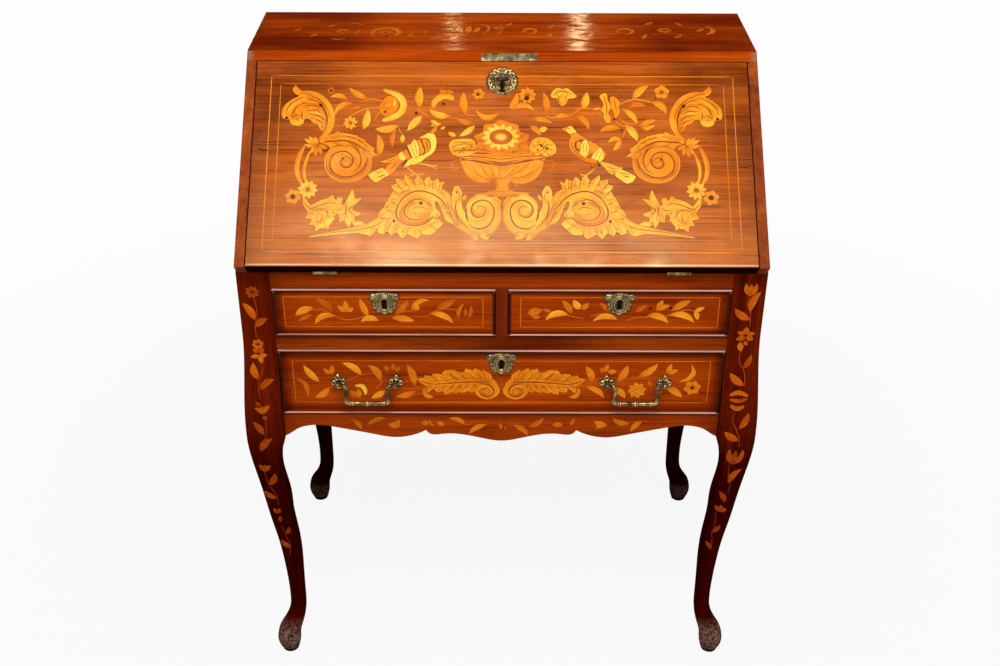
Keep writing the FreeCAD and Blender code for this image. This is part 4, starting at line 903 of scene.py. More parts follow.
    [(108, 98, 0.6), (118, 107, 1.4), (132, 109, 1.6), (144, 101, 1.6), (148, 88, 1.4), (140, 78, 1.3),
     (126, 76, 1.1), (114, 82, 0.6)],
    [(112, 92, 0.5), (124, 97, 1.2), (136, 94, 0.6)], [(94, 134, 1.6), (98, 121, 0.5)],
    [(105, 137, 1.6), (106, 125, 0.5)], [(119, 139, 1.6), (117, 127, 0.5)],
    [(135, 140, 1.6), (130, 127, 0.5)], [(150, 141, 1.6), (140, 126, 0.5)],
    [(160, 135, 1.6), (149, 121, 0.5)], [(164, 123, 1.6), (154, 113, 0.5)],
    [(168, 105, 1.6), (157, 99, 0.5)], [(174, 91, 1.6), (162, 87, 0.5)], [(184, 78, 1.6), (167, 78, 0.5)],
    [(174, 60, 1.6), (165, 72, 0.5)], [(161, 58, 1.6), (154, 67, 0.5)], [(144, 54, 1.6), (140, 64, 0.5)],
    [(122, 52, 1.6), (124, 63, 0.5)], [(98, 60, 1.4), (110, 68, 0.5)], [(97, 77, 1.4), (106, 80, 0.5)],
    [(191, 57, 1.2), (183, 68, 0.5)], [(176, 76, 0.6), (200, 63, 1.2), (245, 56.5, 0.9), (282, 49, 0.4)],
    [(90, 98, 1.2), (80, 86, 0.5)], [(84, 88, 1.2), (74, 78, 0.5)], [(100, 104, 1), (88, 96, 0.4)],
    [(34, 48, 1.2), (40, 56, 0.5)], [(18, 51, 1.2), (26, 58, 0.5)],
    [(300, 104, 0.5), (290, 94, 1.3), (276, 99, 1.4), (262, 103, 0.8), (250, 100, 0.4)],
    [(288, 90, 0.5), (276, 93, 1.3), (264, 88, 1.3), (262, 78, 0.6)],
    [(272, 86, 0.8), (272, 76, 1.4), (278, 70, 0.6)], [(234, 104, 0.5), (236, 90, 1.3), (232, 76, 0.5)],
    [(240, 98, 0.5), (246, 92, 1.2), (256, 92, 0.5)], [(222, 100, 0.5), (232, 92, 1.1), (222, 84, 0.5)]
], "blooms": [
    (295, 125, 15.5, 10, 0.86), (317, 113, 12.5, 6, 0.6)
], "dots": [
    (333, 244, 2.6), (281, 266, 3), (317, 113, 4), (69, 121, 1.6), (123, 103, 3), (244, 176, 1.8),
    (116, 88, 0.9), (121, 86, 0.9), (126, 85, 0.9), (131, 85, 0.9), (118, 83, 0.9), (124, 81, 0.9),
    (163, 74, 2.4), (150, 57, 1.2), (174, 55, 1.4), (188, 58, 1.1)
]}
fallLeft = {"masses": [
    [0.92, (-204, 149), (-195, 155), (-184, 160.5), (-178, 157), (-172, 150.5), (-181, 144), (-193, 137)],
    [0.5, (-179, 158), (-175, 165), (-167, 171), (-158, 176), (-153, 171.5), (-159, 164), (-163, 157),
     (-170, 150), (-174.5, 153)],
    [0.64, (-187, 171), (-176, 174.5), (-167, 178.5), (-160, 181.5), (-157, 177), (-165, 171.5), (-176, 169)],
    [0.95, (-158.5, 184), (-153, 188.5), (-150.5, 183), (-147, 177.5), (-150, 173), (-155.5, 174.5),
     (-158.5, 179)],
    [0.5, (-151, 187), (-147, 192), (-142, 183), (-139, 178.5), (-146, 174), (-148, 178.5)],
    [0.95, (-145.5, 199), (-140, 200.5), (-138, 205.5), (-134.5, 208.5), (-131, 205), (-128.5, 198),
     (-127, 190), (-127.5, 182), (-131, 177), (-137, 178), (-141, 187), (-143.5, 193)],
    [0.58, (-131, 206.5), (-126, 208), (-123, 200), (-119.5, 191), (-121, 185), (-126, 183), (-126, 192),
     (-128, 200)],
    [0.62, (-123, 209), (-117, 209.5), (-112, 204), (-110.5, 197), (-113, 190), (-118, 185), (-118, 192),
     (-121, 200)],
    [0.93, (-128, 211), (-119, 216.5), (-112, 220), (-105, 217.5), (-101.5, 210), (-101, 201), (-103, 191),
     (-109, 183.5), (-117, 178), (-124, 171.5), (-134, 166.5), (-145, 164), (-150, 160.5), (-147.5, 167),
     (-143.5, 173.5), (-137, 178), (-128, 180.5), (-119, 183.5), (-112, 189), (-109.5, 197), (-110.5, 205),
     (-115, 210.5), (-121, 211)],
    [0.45, (-192, 262), (-187, 272), (-180, 281), (-171, 282), (-163, 276), (-160, 266), (-164, 256),
     (-172, 250), (-181, 247), (-188, 252)]
], "bands": [
    [0.9, (-185, 293, 5), (-172, 288.5, 9), (-159, 281, 11), (-152.5, 268, 11.5), (-156, 254.5, 11),
     (-168, 246, 10), (-185, 240, 6)],
    [0.8, (-107, 262, 7), (-106, 271, 10), (-98, 279.5, 11), (-88, 283.5, 12), (-78, 279, 9), (-77, 275, 5)],
    [0.6, (-240, 243, 1.89), (-225, 254, 1.89), (-208, 261, 1.89), (-188, 263, 1.62)],
    [0.6, (-219, 272, 1.89), (-203, 277, 2.16), (-186, 274, 1.62)],
    [0.6, (-198, 240, 1.62), (-190, 254, 1.62), (-178, 263, 1.62)],
    [0.74, (-130, 168.5, 3), (-118, 167, 3), (-108, 164.5, 2.6), (-99, 164.5, 2)],
    [0.74, (-147, 163.5, 2.6), (-139, 157, 2.4), (-131, 150, 2.4), (-120, 151, 1.8)],
    [0.7, (-131, 150, 2), (-137, 149, 1.8), (-143, 146, 1.4)],
    [0.66, (-108, 164.5, 1.6), (-104, 161, 1.4), (-99, 159, 1.2)],
    [0.55, (-131, 264, 1.6), (-126, 256, 2), (-114, 248, 1.4)],
    [0.55, (-58, 258, 1.6), (-53, 251, 1.8), (-42, 250, 1.2)],
    [0.55, (-44, 235, 1.2), (-56, 241, 1.8), (-78, 245, 1.4), (-98, 244, 1)],
    [0.5, (-160, 231, 1.2), (-157, 222, 1.6), (-153, 216, 1)]
], "leaves": [
    (-241, 275, -267, 279, 9, -0.2, 0.62), (-208, 277, -238, 296, 11, 0.08, 0.62),
    (-231, 269, -259, 249, 10, -0.2, 0.58), (-218, 263, -234, 259, 7, 0, 0.35),
    (-214, 225, -208, 259, 13, -0.05, 0.85), (-160, 233, -196, 226, 13, 0.12, 0.72),
    (-190, 181, -192, 217, 12, -0.1, 0.55), (-128, 262, -127, 298, 14, 0.05, 0.72),
    (-124, 249, -146, 223, 13, 0, 0.88), (-98, 231, -110, 241, 8, 0, 0.85),
    (-57, 251, -60, 289, 14, 0.06, 0.66), (-44, 236, -71, 246, 9, 0.15, 0.5),
    (-42, 233, -66, 214, 10, 0.06, 0.85), (-5, 254, -41, 258, 11, 0.3, 0.64),
    (-70, 215, -83, 221, 8, 0.1, 0.8), (-154, 203, -153, 217, 8, 0, 0.85),
    (-168, 194, -164, 226, 9, 0.1, 0.35), (-84, 288, -98, 293, 8, 0.1, 0.5),
    (-74, 286, -88, 292, 7, 0, 0.45), (-95, 226, -88, 230, 5, 0, 0.85), (-100, 252, -92, 243, 4, 0, 0.5),
    (-112, 219, -102, 233, 7, -0.15, 0.5), (-110, 231, -94, 235, 6, 0.1, 0.9),
    (-168, 262, -167, 279, 6, 0, 0.85), (-183, 264, -172, 268, 8, 0.1, 0.7),
    (-180, 254, -170, 258, 7, 0.1, 0.62), (-80, 249, -113, 260, 12, 0.16, 0.78)
], "cuts": [
    [(-146.5, 197, 1.4), (-144, 189, 2.4), (-139.5, 179, 1.6)],
    [(-125.5, 208, 1.4), (-122, 200, 2.2), (-119.5, 192, 1.2)],
    [(-141, 198, 0.5), (-137, 190, 0.9), (-134, 181, 0.5)],
    [(-136, 205, 0.5), (-132.5, 195, 0.9), (-131, 184, 0.5)],
    [(-190, 145, 0.6), (-184, 147.5, 1.5), (-178, 150, 0.6)],
    [(-154, 163, 2), (-149, 170, 3), (-145.5, 175, 1.6)],
    [(-196, 150, 0.4), (-188, 154, 0.9), (-182, 155, 0.4)],
    [(-118, 206, 0.5), (-115, 199, 1), (-116, 191, 0.5)], [(-140, 166.5, 1.6), (-137, 165, 1.6)],
    [(-176, 171.5, 0.4), (-168, 174.5, 0.9), (-162, 178, 0.4)],
    [(-172, 157, 0.4), (-166, 163, 1), (-160, 170, 0.4)], [(-148.5, 160, 1.2), (-145.5, 161.5, 1.2)]
], "blooms": [
    (-234, 236, 11, 8, 0.8), (-37, 286, 10, 6, 0.55), (-266, 291, 6, 5, 0.35)
], "dots": [
    (-266, 291, 2.2), (-226, 233, 1.6), (-133, 253, 2.6), (-38, 285, 2), (-181, 255, 1.8), (-148, 171, 1.6),
    (-106, 234, 0.9), (-91, 269, 2.4)
]}
fallRight = {"masses": [
    [0.5, (104, 219), (109, 220), (114, 221.5), (121, 216), (129, 211), (133, 207), (127, 209), (119, 208.5),
     (112.5, 204), (112.5, 195), (117, 189), (121, 184), (128, 179.5), (137, 177.5), (144, 176), (150, 171),
     (141, 169.5), (130, 171), (121, 176), (112, 183), (105.5, 190), (102.5, 198), (103, 208), (106, 213)],
    [0.95, (98.5, 224), (101, 230.5), (107, 231.5), (111, 226.5), (114.5, 221), (109, 217.5), (103, 219)],
    [0.62, (91.5, 227), (96.5, 230.5), (100, 227), (98, 222.5), (94, 224.5)],
    [0.64, (114, 203), (118, 206.5), (121.5, 202), (119.5, 194), (115, 194.5)],
    [0.93, (127, 209.5), (122, 202.5), (120, 193), (118.5, 186), (123, 182), (128.5, 179.5), (131.5, 187),
     (133.5, 196), (131.5, 205)],
    [0.62, (132, 208), (137, 206), (139.5, 201), (137.5, 192), (134, 184), (130.5, 181), (133, 190),
     (134, 199)],
    [0.55, (139.5, 204), (146, 200), (150, 195), (142.5, 189), (136.5, 185), (138, 194)],
    [0.93, (150.5, 196), (144, 190), (139, 184), (136.5, 178), (143, 176), (149.5, 172.5), (153, 176),
     (154.5, 182), (153, 189)],
    [0.56, (151.5, 195.5), (155.5, 190), (159, 184), (156.5, 178), (152.5, 173), (154.5, 182)],
    [0.74, (149.5, 172.5), (157, 171), (166, 168.5), (176, 164), (184.5, 162), (178, 158), (172, 154.5),
     (168, 150.5), (162, 155), (155.5, 163), (151, 168)],
    [0.92, (171.5, 152), (179, 159.5), (187, 157), (196, 152), (203.5, 148), (199.5, 140), (190, 136),
     (182, 141), (174, 147)],
    [0.8, (75, 285), (80, 293.5), (87, 297.5), (94, 295), (101, 297), (108, 291), (116, 283), (110, 279),
     (103, 278.5), (99, 270), (93.5, 266), (88, 269.5), (84.5, 279), (77.5, 280)],
    [0.76, (151, 283), (158, 288.5), (163, 286), (163.5, 277), (167, 270), (168, 262), (164, 254),
     (168, 246), (167, 238), (161, 237.5), (156.5, 246), (157, 254), (152, 260), (157, 267), (155, 275)],
    [0.6, (167, 280), (172, 283), (178, 279), (183, 271), (181, 263), (183, 256), (178, 247.5), (174, 246),
     (172, 255), (169, 262), (168, 271)]
], "bands": [
    [0.6, (180, 268, 1.89), (196, 276, 2.16), (215, 277, 2.16), (236, 271, 1.89)],
    [0.6, (182, 262, 1.89), (190, 258, 1.89), (196, 252, 1.62)],
    [0.6, (176, 240, 1.62), (186, 232, 1.89), (196, 236, 1.62)],
    [0.6, (138, 260, 1.89), (122, 262, 1.89), (112, 254, 1.62)],
    [0.72, (141, 161, 2.2), (134, 154, 2.2), (127, 149.5, 2), (118, 151.5, 1.6)],
    [0.66, (127, 149.5, 1.8), (124, 146, 1.6), (120, 144, 1.2)],
    [0.5, (140, 170, 2.4), (138, 165, 2), (142, 160, 2)],
    [0.55, (180, 246, 1.2), (192, 237, 1.8), (206, 236, 1.2)],
    [0.55, (192, 237, 1.2), (190, 224, 1.8), (184, 211, 1.2)],
    [0.55, (66, 254, 1.2), (78, 246, 1.6), (112, 252, 1.2)],
    [0.5, (45, 240, 1), (62, 247, 1.6), (82, 246, 1.2)],
    [0.55, (196, 276, 1.2), (204, 279, 1.6), (212, 286, 1)]
], "leaves": [
    (10, 261, 23, 288, 11, -0.1, 0.66), (14, 259, 50, 258, 10, 0.25, 0.62),
    (66, 253, 63, 289, 12, -0.1, 0.5), (124, 260, 131, 290, 13, -0.05, 0.68),
    (80, 245, 104, 248, 9, 0.15, 0.62), (45, 244, 77, 237, 10, 0.08, 0.5), (43, 232, 59, 216, 10, 0.1, 0.6),
    (57, 222, 70, 228, 10, 0.1, 0.92), (112, 252, 134, 226, 11, 0.15, 0.5), (155, 262, 139, 260, 6, 0, 0.6),
    (183, 227, 150, 222, 11, -0.12, 0.6), (184, 208, 163, 204, 9, -0.2, 0.72),
    (182, 210, 170, 191, 9, 0.1, 0.72), (203, 277, 227, 301, 13, 0.1, 0.62),
    (231, 272, 254, 253, 12, 0.2, 0.64), (194, 262, 223, 265, 10, 0.2, 0.42),
    (187, 261, 208, 236, 11, 0.12, 0.72), (190, 234, 208, 207, 13, 0.08, 0.78),
    (212, 231, 238, 242, 9, 0.1, 0.58), (214, 230, 236, 234, 7, -0.1, 0.6), (216, 229, 228, 226, 6, 0, 0.55),
    (93, 267, 93, 286, 13, 0, 0.66)
], "cuts": [
    [(127.5, 208.5, 1), (119, 208, 1.8), (112.5, 203, 1.8), (112, 196, 1.6), (116, 189.5, 0.8)],
    [(145, 174.5, 2), (147, 168, 2.6), (150.5, 163, 2.4)],
    [(134, 164, 2), (138, 163, 2.6), (141, 164.5, 1.4)],
    [(184, 149.5, 0.6), (190, 147.5, 1.6), (195, 147, 0.6)],
    [(158, 183, 0.6), (157, 177, 1.6), (155, 172, 0.8)], [(176, 156, 0.5), (184, 153, 1.2), (194, 151, 0.5)],
    [(126, 204, 0.5), (124, 195, 1), (124, 186, 0.5)], [(130, 204, 0.4), (129, 194, 0.8), (128, 184, 0.4)],
    [(148, 191, 0.5), (145, 185, 1), (142, 179, 0.5)], [(152, 188, 0.4), (149.5, 181, 0.9), (148, 175, 0.4)],
    [(160, 166, 0.4), (168, 161, 1), (176, 159.5, 0.4)],
    [(163, 158, 0.4), (168, 155.5, 0.9), (172, 157, 0.4)],
    [(106, 206, 0.4), (108, 195, 0.9), (116, 184, 0.8), (126, 176, 0.4)],
    [(79, 283, 0.6), (86, 290, 1.4), (97, 291, 1.4), (109, 285, 0.6)],
    [(99, 272, 0.5), (99, 280, 1.1), (102, 288, 0.5)], [(87, 272, 0.5), (87, 280, 1.1), (85, 287, 0.5)],
    [(157, 284, 0.5), (160, 274, 1.2), (162, 264, 1.2), (161, 250, 0.5)],
    [(173, 279, 0.5), (175, 270, 1.2), (177, 258, 0.5)]
], "blooms": [
    (39, 284, 14, 9, 0.6), (248, 290, 12, 5, 0.58)
], "dots": [
    (38, 279, 4), (173, 244, 2), (96, 229, 1), (148, 166, 2.2), (238, 279, 1.6), (184, 226, 1.8),
    (103, 228, 1)
]}
fallMiddle = {"masses": [
    [0.53, (-66, 176), (-48, 173), (-26, 168), (0, 165), (26, 169), (48, 174), (66, 178), (60, 165),
     (47, 153.5), (28, 146.5), (0, 143.5), (-28, 146), (-47, 153), (-60, 163)],
    [0.57, (-72, 181.5), (-56, 186), (-30, 184), (0, 186), (30, 185), (56, 187), (74, 183), (58, 178),
     (30, 176), (0, 171), (-30, 175), (-58, 177)],
    [0.4, (-46, 190), (-38, 202), (-44, 214), (-30, 222), (-28, 234), (-14, 236), (-4, 243), (10, 238),
     (24, 234), (28, 222), (42, 217), (38, 203), (46, 192), (30, 186), (0, 185), (-30, 186)],
    [0.47, (-42, 117), (-20, 123), (-9, 126), (-7, 134), (-12, 142), (12, 142), (7, 134), (9, 126),
     (20, 123), (42, 118), (20, 114), (-20, 113.5)],
    [0.74, (-82, 200), (-76, 208), (-58, 210), (-44, 208), (-40, 198), (-42, 187), (-56, 181), (-74, 182),
     (-80, 190)],
    [0.72, (41, 195), (46, 208), (58, 213), (72, 210), (82, 199), (82, 187), (70, 180), (52, 181), (43, 186)]
], "bands": [
    [0.3, (-78, 181, 1.2), (0, 181.5, 1.6), (78, 182, 1.2)],
    [0.45, (-66, 173, 2), (-40, 176, 4), (-14, 168, 4), (0, 160, 2)],
    [0.45, (66, 174, 2), (40, 177, 4), (14, 168, 4), (0, 160, 2)],
    [0.32, (-62, 172, 2), (-73, 173, 2.4), (-77, 165, 2.6), (-71, 157, 2.2), (-67, 162, 1.6)],
    [0.32, (62, 172, 2), (75, 174, 2.4), (80, 166, 2.6), (74, 158, 2.2), (70, 163, 1.6)],
    [0.4, (-22, 138, 2), (-14, 141, 3.4), (-8, 134, 3.6), (-10, 126, 3)],
    [0.4, (22, 138, 2), (14, 141, 3.4), (8, 134, 3.6), (10, 126, 3)],
    [0.3, (-20, 128, 2), (-22, 134, 2), (-17, 137, 2)], [0.3, (20, 128, 2), (22, 134, 2), (17, 137, 2)],
    [0.45, (-40, 119, 3), (0, 121, 4.5), (40, 120, 3)], [0.4, (-26, 115, 2), (0, 115, 3.4), (26, 115, 2)],
    [0.35, (-60, 186, 3), (-36, 190, 6), (-14, 186, 4)], [0.35, (14, 187, 4), (34, 189, 7), (44, 186, 3)]
], "leaves": [
    (-6, 144, -62, 168, 13, 0.22, 0.62), (-5, 144, -46, 170, 13, 0.14, 0.7),
    (-4, 143, -30, 168, 13, 0.1, 0.64), (-2, 143, -15, 164, 12, 0.05, 0.7), (0, 143, 0, 160, 12, 0, 0.64),
    (2, 143, 15, 164, 12, -0.05, 0.7), (4, 143, 30, 168, 13, -0.1, 0.64), (5, 144, 46, 171, 13, -0.14, 0.7),
    (6, 144, 63, 169, 13, -0.22, 0.62), (-44, 206, -80, 199, 10, 0.12, 0.82),
    (-42, 198, -79, 192, 8, 0.05, 0.66), (-42, 188, -74, 183, 9, 0.06, 0.84),
    (-46, 202, -74, 206, 7, 0.1, 0.7), (60, 192, 42, 194, 10, 0.1, 0.8), (60, 194, 47, 207, 11, 0.1, 0.84),
    (62, 195, 58, 212, 11, 0, 0.78), (63, 195, 71, 209, 11, -0.05, 0.84), (64, 194, 80, 199, 11, 0, 0.78),
    (64, 190, 81, 187, 9, 0, 0.76), (62, 188, 70, 181, 8, 0, 0.8), (58, 188, 50, 183, 8, 0, 0.8),
    (-24, 193, -40, 196, 9, 0, 0.35), (24, 196, 40, 203, 9, 0, 0.35), (-30, 205, -44, 214, 7, 0, 0.35),
    (28, 214, 42, 216, 7, 0, 0.35), (-12, 190, 4, 186, 8, 0, 0.4)
], "cuts": [
    [(-78, 196, 0.5), (-60, 201, 1.4), (-43, 200, 0.5)], [(-76, 188, 0.5), (-60, 191, 1.4), (-43, 191, 0.5)],
    [(-70, 206, 0.4), (-58, 203, 1), (-48, 206, 0.4)], [(-68, 184, 0.5), (-62, 188, 1), (-56, 184, 0.5)],
    [(46, 197, 0.5), (58, 200, 1.5), (64, 193, 1.2), (56, 188, 0.5)],
    [(70, 203, 0.6), (66, 196, 1.4), (76, 191, 0.6)], [(52, 206, 0.6), (57, 200, 0.9)],
    [(-64, 175, 0.6), (-30, 171, 1.2), (0, 166, 1.2), (30, 172, 1.2), (64, 177, 0.6)],
    [(-70, 181, 0.5), (-30, 179, 1), (0, 176, 1), (30, 180, 1), (72, 182, 0.5)]
], "blooms": [
    (-2, 213, 30, 14, 0.93, 0.76)
], "eyes": [
    (-2, 213, 18, 13, 0.32), (-2, 213, 9.5, 6.5, 0.9)
], "dots": [
    (60, 199, 2), (69, 194, 2), (54, 191, 1.4), (-59, 194, 1.4), (-47, 196, 1.2)
]}
fallLines = {
    "bands": [
        *stringBox(-359.5, 359.5, 24.5, 317, 1.2, 0.62), *stringBox(-344.5, 344.5, 38.5, 303, 1.0, 0.56),
        [-0.7, (-383, 199.5, 1.6), (-360, 199, 1.0), (-330, 199.6, 0.5), (-290, 200, 0.3)],
        [-0.7, (-374, 192, 2.6), (-366, 189.5, 3.4), (-359, 190, 1.6)],
        [-0.7, (384, 166, 1.4), (370, 163, 1.8), (356, 165, 0.5)]],
    "cuts": [
        [(-384, 150, 0.4), (-366, 151, 0.9), (-352, 150.5, 0.3)],
        [(383, 171, 0.5), (366, 170, 0.9), (350, 171, 0.3)],
        [(384, 118, 0.4), (372, 118.5, 0.8), (360, 118, 0.3)],
        [(-384, 96, 0.4), (-371, 95, 0.8), (-358, 96, 0.3)],
        [(-150, 26, 0.3), (-60, 25.4, 0.7), (40, 26, 0.5), (120, 25.6, 0.3)]],
    "dots": [(-352, 214, 0.9), (351, 92, 0.9), (-210, 30, 0.8), (268, 32, 0.8), (-96, 308, 0.8),
             (182, 309, 0.9)],
}
fallDesigns = [(fallLines, single), (fallPair, both), (fallLeft, single), (fallRight, single),
               (fallMiddle, single)]
inlayPanel("inlay_fall", fallDesigns, onFall, inlay["fall"], "fall")

# drawer fronts
leftDrawerLeaves = {"bands": [
    [0.4, (-290, 701, 1.2), (-276, 703, 1.4), (-259, 693, 1.4), (-241, 685, 1.4), (-222, 687, 1.4),
     (-206, 694, 1.2)],
    [0.35, (-168, 691, 1.2), (-150, 699, 1.4), (-131, 701, 1.2)],
    [0.35, (-112, 695, 1.2), (-96, 703, 1.4), (-76, 704, 1.4), (-64, 700, 1.2)],
    [0.3, (-140, 692, 1), (-124, 690, 1), (-110, 694, 1)]
], "leaves": [
    (-289, 705, -317, 692, 13, -0.1, 0.58), (-292, 694, -314, 682, 7, 0, 0.3),
    (-261, 700, -284, 721, 13, -0.1, 0.3), (-257, 691, -288, 677, 11, -0.22, 0.6),
    (-236, 698, -240, 719, 9, 0.05, 0.5), (-238, 700, -251, 710, 9, 0.1, 0.52),
    (-237, 699, -228, 706, 8, 0, 0.56), (-205, 692, -217, 722, 11, 0.05, 0.55),
    (-190, 683, -217, 681, 11, -0.2, 0.62), (-164, 694, -144, 720, 11, -0.05, 0.35),
    (-169, 688, -135, 683, 12, 0.05, 0.58), (-138, 702, -111, 720, 9, 0.2, 0.62),
    (-128, 702, -135, 712, 10, 0, 0.6), (-100, 706, -72, 722, 13, -0.05, 0.32),
    (-110, 696, -75, 679, 11, 0.15, 0.64), (-67, 687, -58, 714, 7, 0.12, 0.32),
    (-52, 688, -48, 710, 7, -0.1, 0.3), (-56, 690, -56, 706, 6, 0, 0.26)
]}
rightDrawerLeaves = {"bands": [
    [0.4, (100, 694, 1.4), (114, 690, 1.3), (126, 688, 1.1)],
    [0.35, (135, 692, 1.1), (158, 697, 1.3), (173, 692, 1.1)],
    [0.4, (192, 684, 1.2), (206, 690, 1.4), (226, 691, 1.4), (238, 701, 1.2)],
    [0.4, (249, 690, 1.2), (265, 698, 1.4), (285, 704, 1.4), (297, 701, 1.2)],
    [0.35, (62, 694, 1.1), (72, 692, 1.1), (84, 696, 1.1)]
], "leaves": [
    (40, 695, 62, 703, 15, 0.05, 0.46), (46, 691, 60, 690, 8, 0, 0.4), (62, 703, 76, 699, 7, 0.1, 0.42),
    (102, 694, 68, 685, 12, -0.2, 0.74), (107, 697, 92, 719, 11, -0.08, 0.4),
    (122, 705, 110, 721, 12, 0.1, 0.78), (120, 705, 132, 716, 10, -0.1, 0.42),
    (178, 686, 141, 683, 11, -0.2, 0.62), (166, 700, 150, 716, 9, 0, 0.3),
    (223, 692, 257, 680, 12, 0.18, 0.6), (238, 702, 246, 721, 10, 0, 0.5),
    (238, 702, 258, 711, 9, 0.1, 0.52), (261, 702, 289, 720, 12, 0.05, 0.44),
    (258, 694, 297, 681, 12, 0.18, 0.66), (296, 700, 311, 708, 8, 0.05, 0.7),
    (297, 702, 302, 686, 9, 0.05, 0.72), (205, 700, 222, 712, 9, 0, 0.3)
], "dots": [
    (228, 706, 2.2), (259, 707, 2.2)
]}
widePair = {"masses": [
    [0.55, (134, 575.5), (123, 578), (121, 583), (111, 579), (109, 586), (98, 581), (88, 593), (79, 583),
     (70, 591), (62, 584), (56, 596), (49, 586), (41, 597), (36, 586), (27, 593), (22, 580), (12, 574),
     (6, 566), (3.5, 556), (6, 545), (14, 538), (25, 536), (36, 541), (42, 551), (41, 559), (47, 558),
     (50, 549), (57, 558), (64, 548), (69, 558), (76, 547), (81, 557), (90, 545), (94, 556), (103, 550),
     (107, 557), (113, 553), (117, 548), (113, 544), (108, 541), (117, 538.5), (124, 544), (126, 555),
     (119, 563), (127, 568)]
], "discs": [
    (24, 552, 7.5, 7.5, 0.5)
], "bands": [
    [0.58, (30, 572, 5), (14, 566, 9), (7, 555, 9), (11, 545, 8), (22, 540.5, 8), (33, 544, 8), (39, 553, 7),
     (34, 562, 3)],
    [0.55, (18, 570, 10), (50, 571, 17), (80, 568, 16), (105, 566, 12), (122, 567, 6), (133, 575, 2)],
    [0.55, (110, 563, 6), (121, 554, 7), (118, 545, 6), (109, 541, 2)]
], "leaves": [
    (18, 569, 27, 591, 10, 0.1, 0.6), (28, 572, 41, 595, 10, 0.1, 0.54), (38, 574, 55, 594, 10, 0.1, 0.6),
    (50, 575, 68, 588, 9, 0.1, 0.54), (60, 574, 87, 592, 11, 0.1, 0.6), (75, 573, 93, 584, 9, 0.1, 0.54),
    (86, 571, 110, 584, 10, 0.1, 0.6), (100, 570, 121, 580, 9, 0.1, 0.54), (108, 568, 134, 575, 8, 0.1, 0.6),
    (40, 567, 50, 550, 9, -0.1, 0.54), (52, 566, 64, 550, 9, -0.1, 0.6), (64, 565, 76, 549, 9, -0.1, 0.54),
    (76, 565, 90, 547, 9, -0.1, 0.6), (90, 565, 103, 551, 9, -0.1, 0.54)
], "cuts": [
    [(16, 569, 0.6), (50, 570, 1.5), (80, 568, 1.4), (108, 566, 1.1), (128, 572, 0.4)],
    [(36, 567, 0.5), (22, 565, 1.5), (13, 556, 1.7), (14.5, 546, 1.6), (23, 542, 1.5), (32, 546, 1.4),
     (34, 554, 1.1), (28, 558, 0.9), (23, 553, 0.5)],
    [(36, 586, 1.3), (30, 573, 0.4)], [(49, 586, 1.3), (42, 573, 0.4)], [(62, 584, 1.3), (55, 573, 0.4)],
    [(79, 583, 1.3), (68, 572, 0.4)], [(98, 581, 1.3), (84, 570, 0.4)], [(111, 579, 1.2), (100, 569, 0.4)],
    [(22, 580, 1.1), (20, 571, 0.4)], [(57, 558, 1.3), (50, 567, 0.4)], [(69, 558, 1.3), (62, 566, 0.4)],
    [(81, 557, 1.3), (74, 565, 0.4)], [(94, 556, 1.3), (86, 564, 0.4)], [(107, 557, 1.2), (98, 564, 0.4)],
    [(41, 559, 1.2), (42, 566, 0.4)], [(119, 562, 0.6), (120, 552, 1.1), (114, 545, 0.4)]
], "dots": [
    (48, 570, 0.8), (74, 569, 0.8), (98, 568, 0.8)
]}
wideLeaves = {"discs": [
    (216, 555, 8, 8, 0.7)
], "bands": [
    [0.38, (-222, 583, 1.4), (-212, 585, 1.3), (-204, 585, 1.1)],
    [0.38, (-225, 583, 1.2), (-238, 575, 1.4), (-250, 572, 1.2)],
    [0.36, (-193, 574, 1.3), (-191, 568, 1.2), (-200, 556, 1.1)],
    [0.36, (-140, 564, 1.3), (-130, 560, 1.3), (-119, 563, 1.1)], [0.36, (-277, 558, 1.4), (-266, 562, 1.2)],
    [0.35, (-324, 575, 5), (-313, 568, 8), (-309, 557, 8), (-308, 542, 3)],
    [0.9, (-233, 562, 4), (-222, 562, 8), (-217, 553, 7), (-217, 545, 3)],
    [0.62, (300, 603, 2), (304, 588, 8), (297, 577, 8), (283, 571, 2)],
    [0.34, (222, 581, 1.3), (205, 580, 1.3)], [0.36, (143, 571, 1.2), (138, 562, 1.3), (120, 562, 1.1)]
], "leaves": [
    (-289, 570, -312, 601, 12, 0.05, 0.66), (-270, 584, -266, 601, 9, 0, 0.5),
    (-271, 584, -281, 595, 8, 0, 0.48), (-222, 583, -251, 605, 12, -0.12, 0.7),
    (-192, 574, -210, 601, 13, -0.12, 0.48), (-275, 559, -297, 540, 12, 0.12, 0.55),
    (-186, 554, -208, 539, 12, 0.08, 0.72), (-137, 552, -169, 542, 12, 0.08, 0.5),
    (-139, 563, -149, 602, 13, -0.08, 0.45), (-178, 590, -184, 600, 8, 0, 0.36),
    (-172, 592, -170, 604, 8, 0, 0.36), (-168, 590, -160, 598, 8, 0, 0.36),
    (-232, 540, -242, 554, 11, 0, 0.42), (-228, 540, -228, 556, 11, 0, 0.46),
    (144, 570, 133, 600, 13, -0.08, 0.46), (163, 590, 168, 604, 9, 0, 0.52),
    (168, 590, 182, 591, 9, 0, 0.55), (160, 588, 157, 598, 7, 0, 0.4), (185, 571, 199, 602, 13, -0.05, 0.52),
    (217, 581, 246, 605, 13, -0.08, 0.55), (181, 559, 198, 540, 12, 0.08, 0.66),
    (136, 560, 164, 540, 11, 0.15, 0.6), (262, 587, 268, 605, 9, 0, 0.52), (263, 587, 279, 594, 9, 0, 0.52),
    (262, 561, 289, 542, 13, 0.06, 0.56), (238, 563, 233, 573, 6, 0, 0.42), (250, 550, 258, 553, 5, 0, 0.4)
], "blooms": [
    (216, 555, 15, 8, 0.58), (304, 560, 14, 6, 0.56)
], "dots": [
    (216, 556, 1.4), (304, 560, 2)
]}
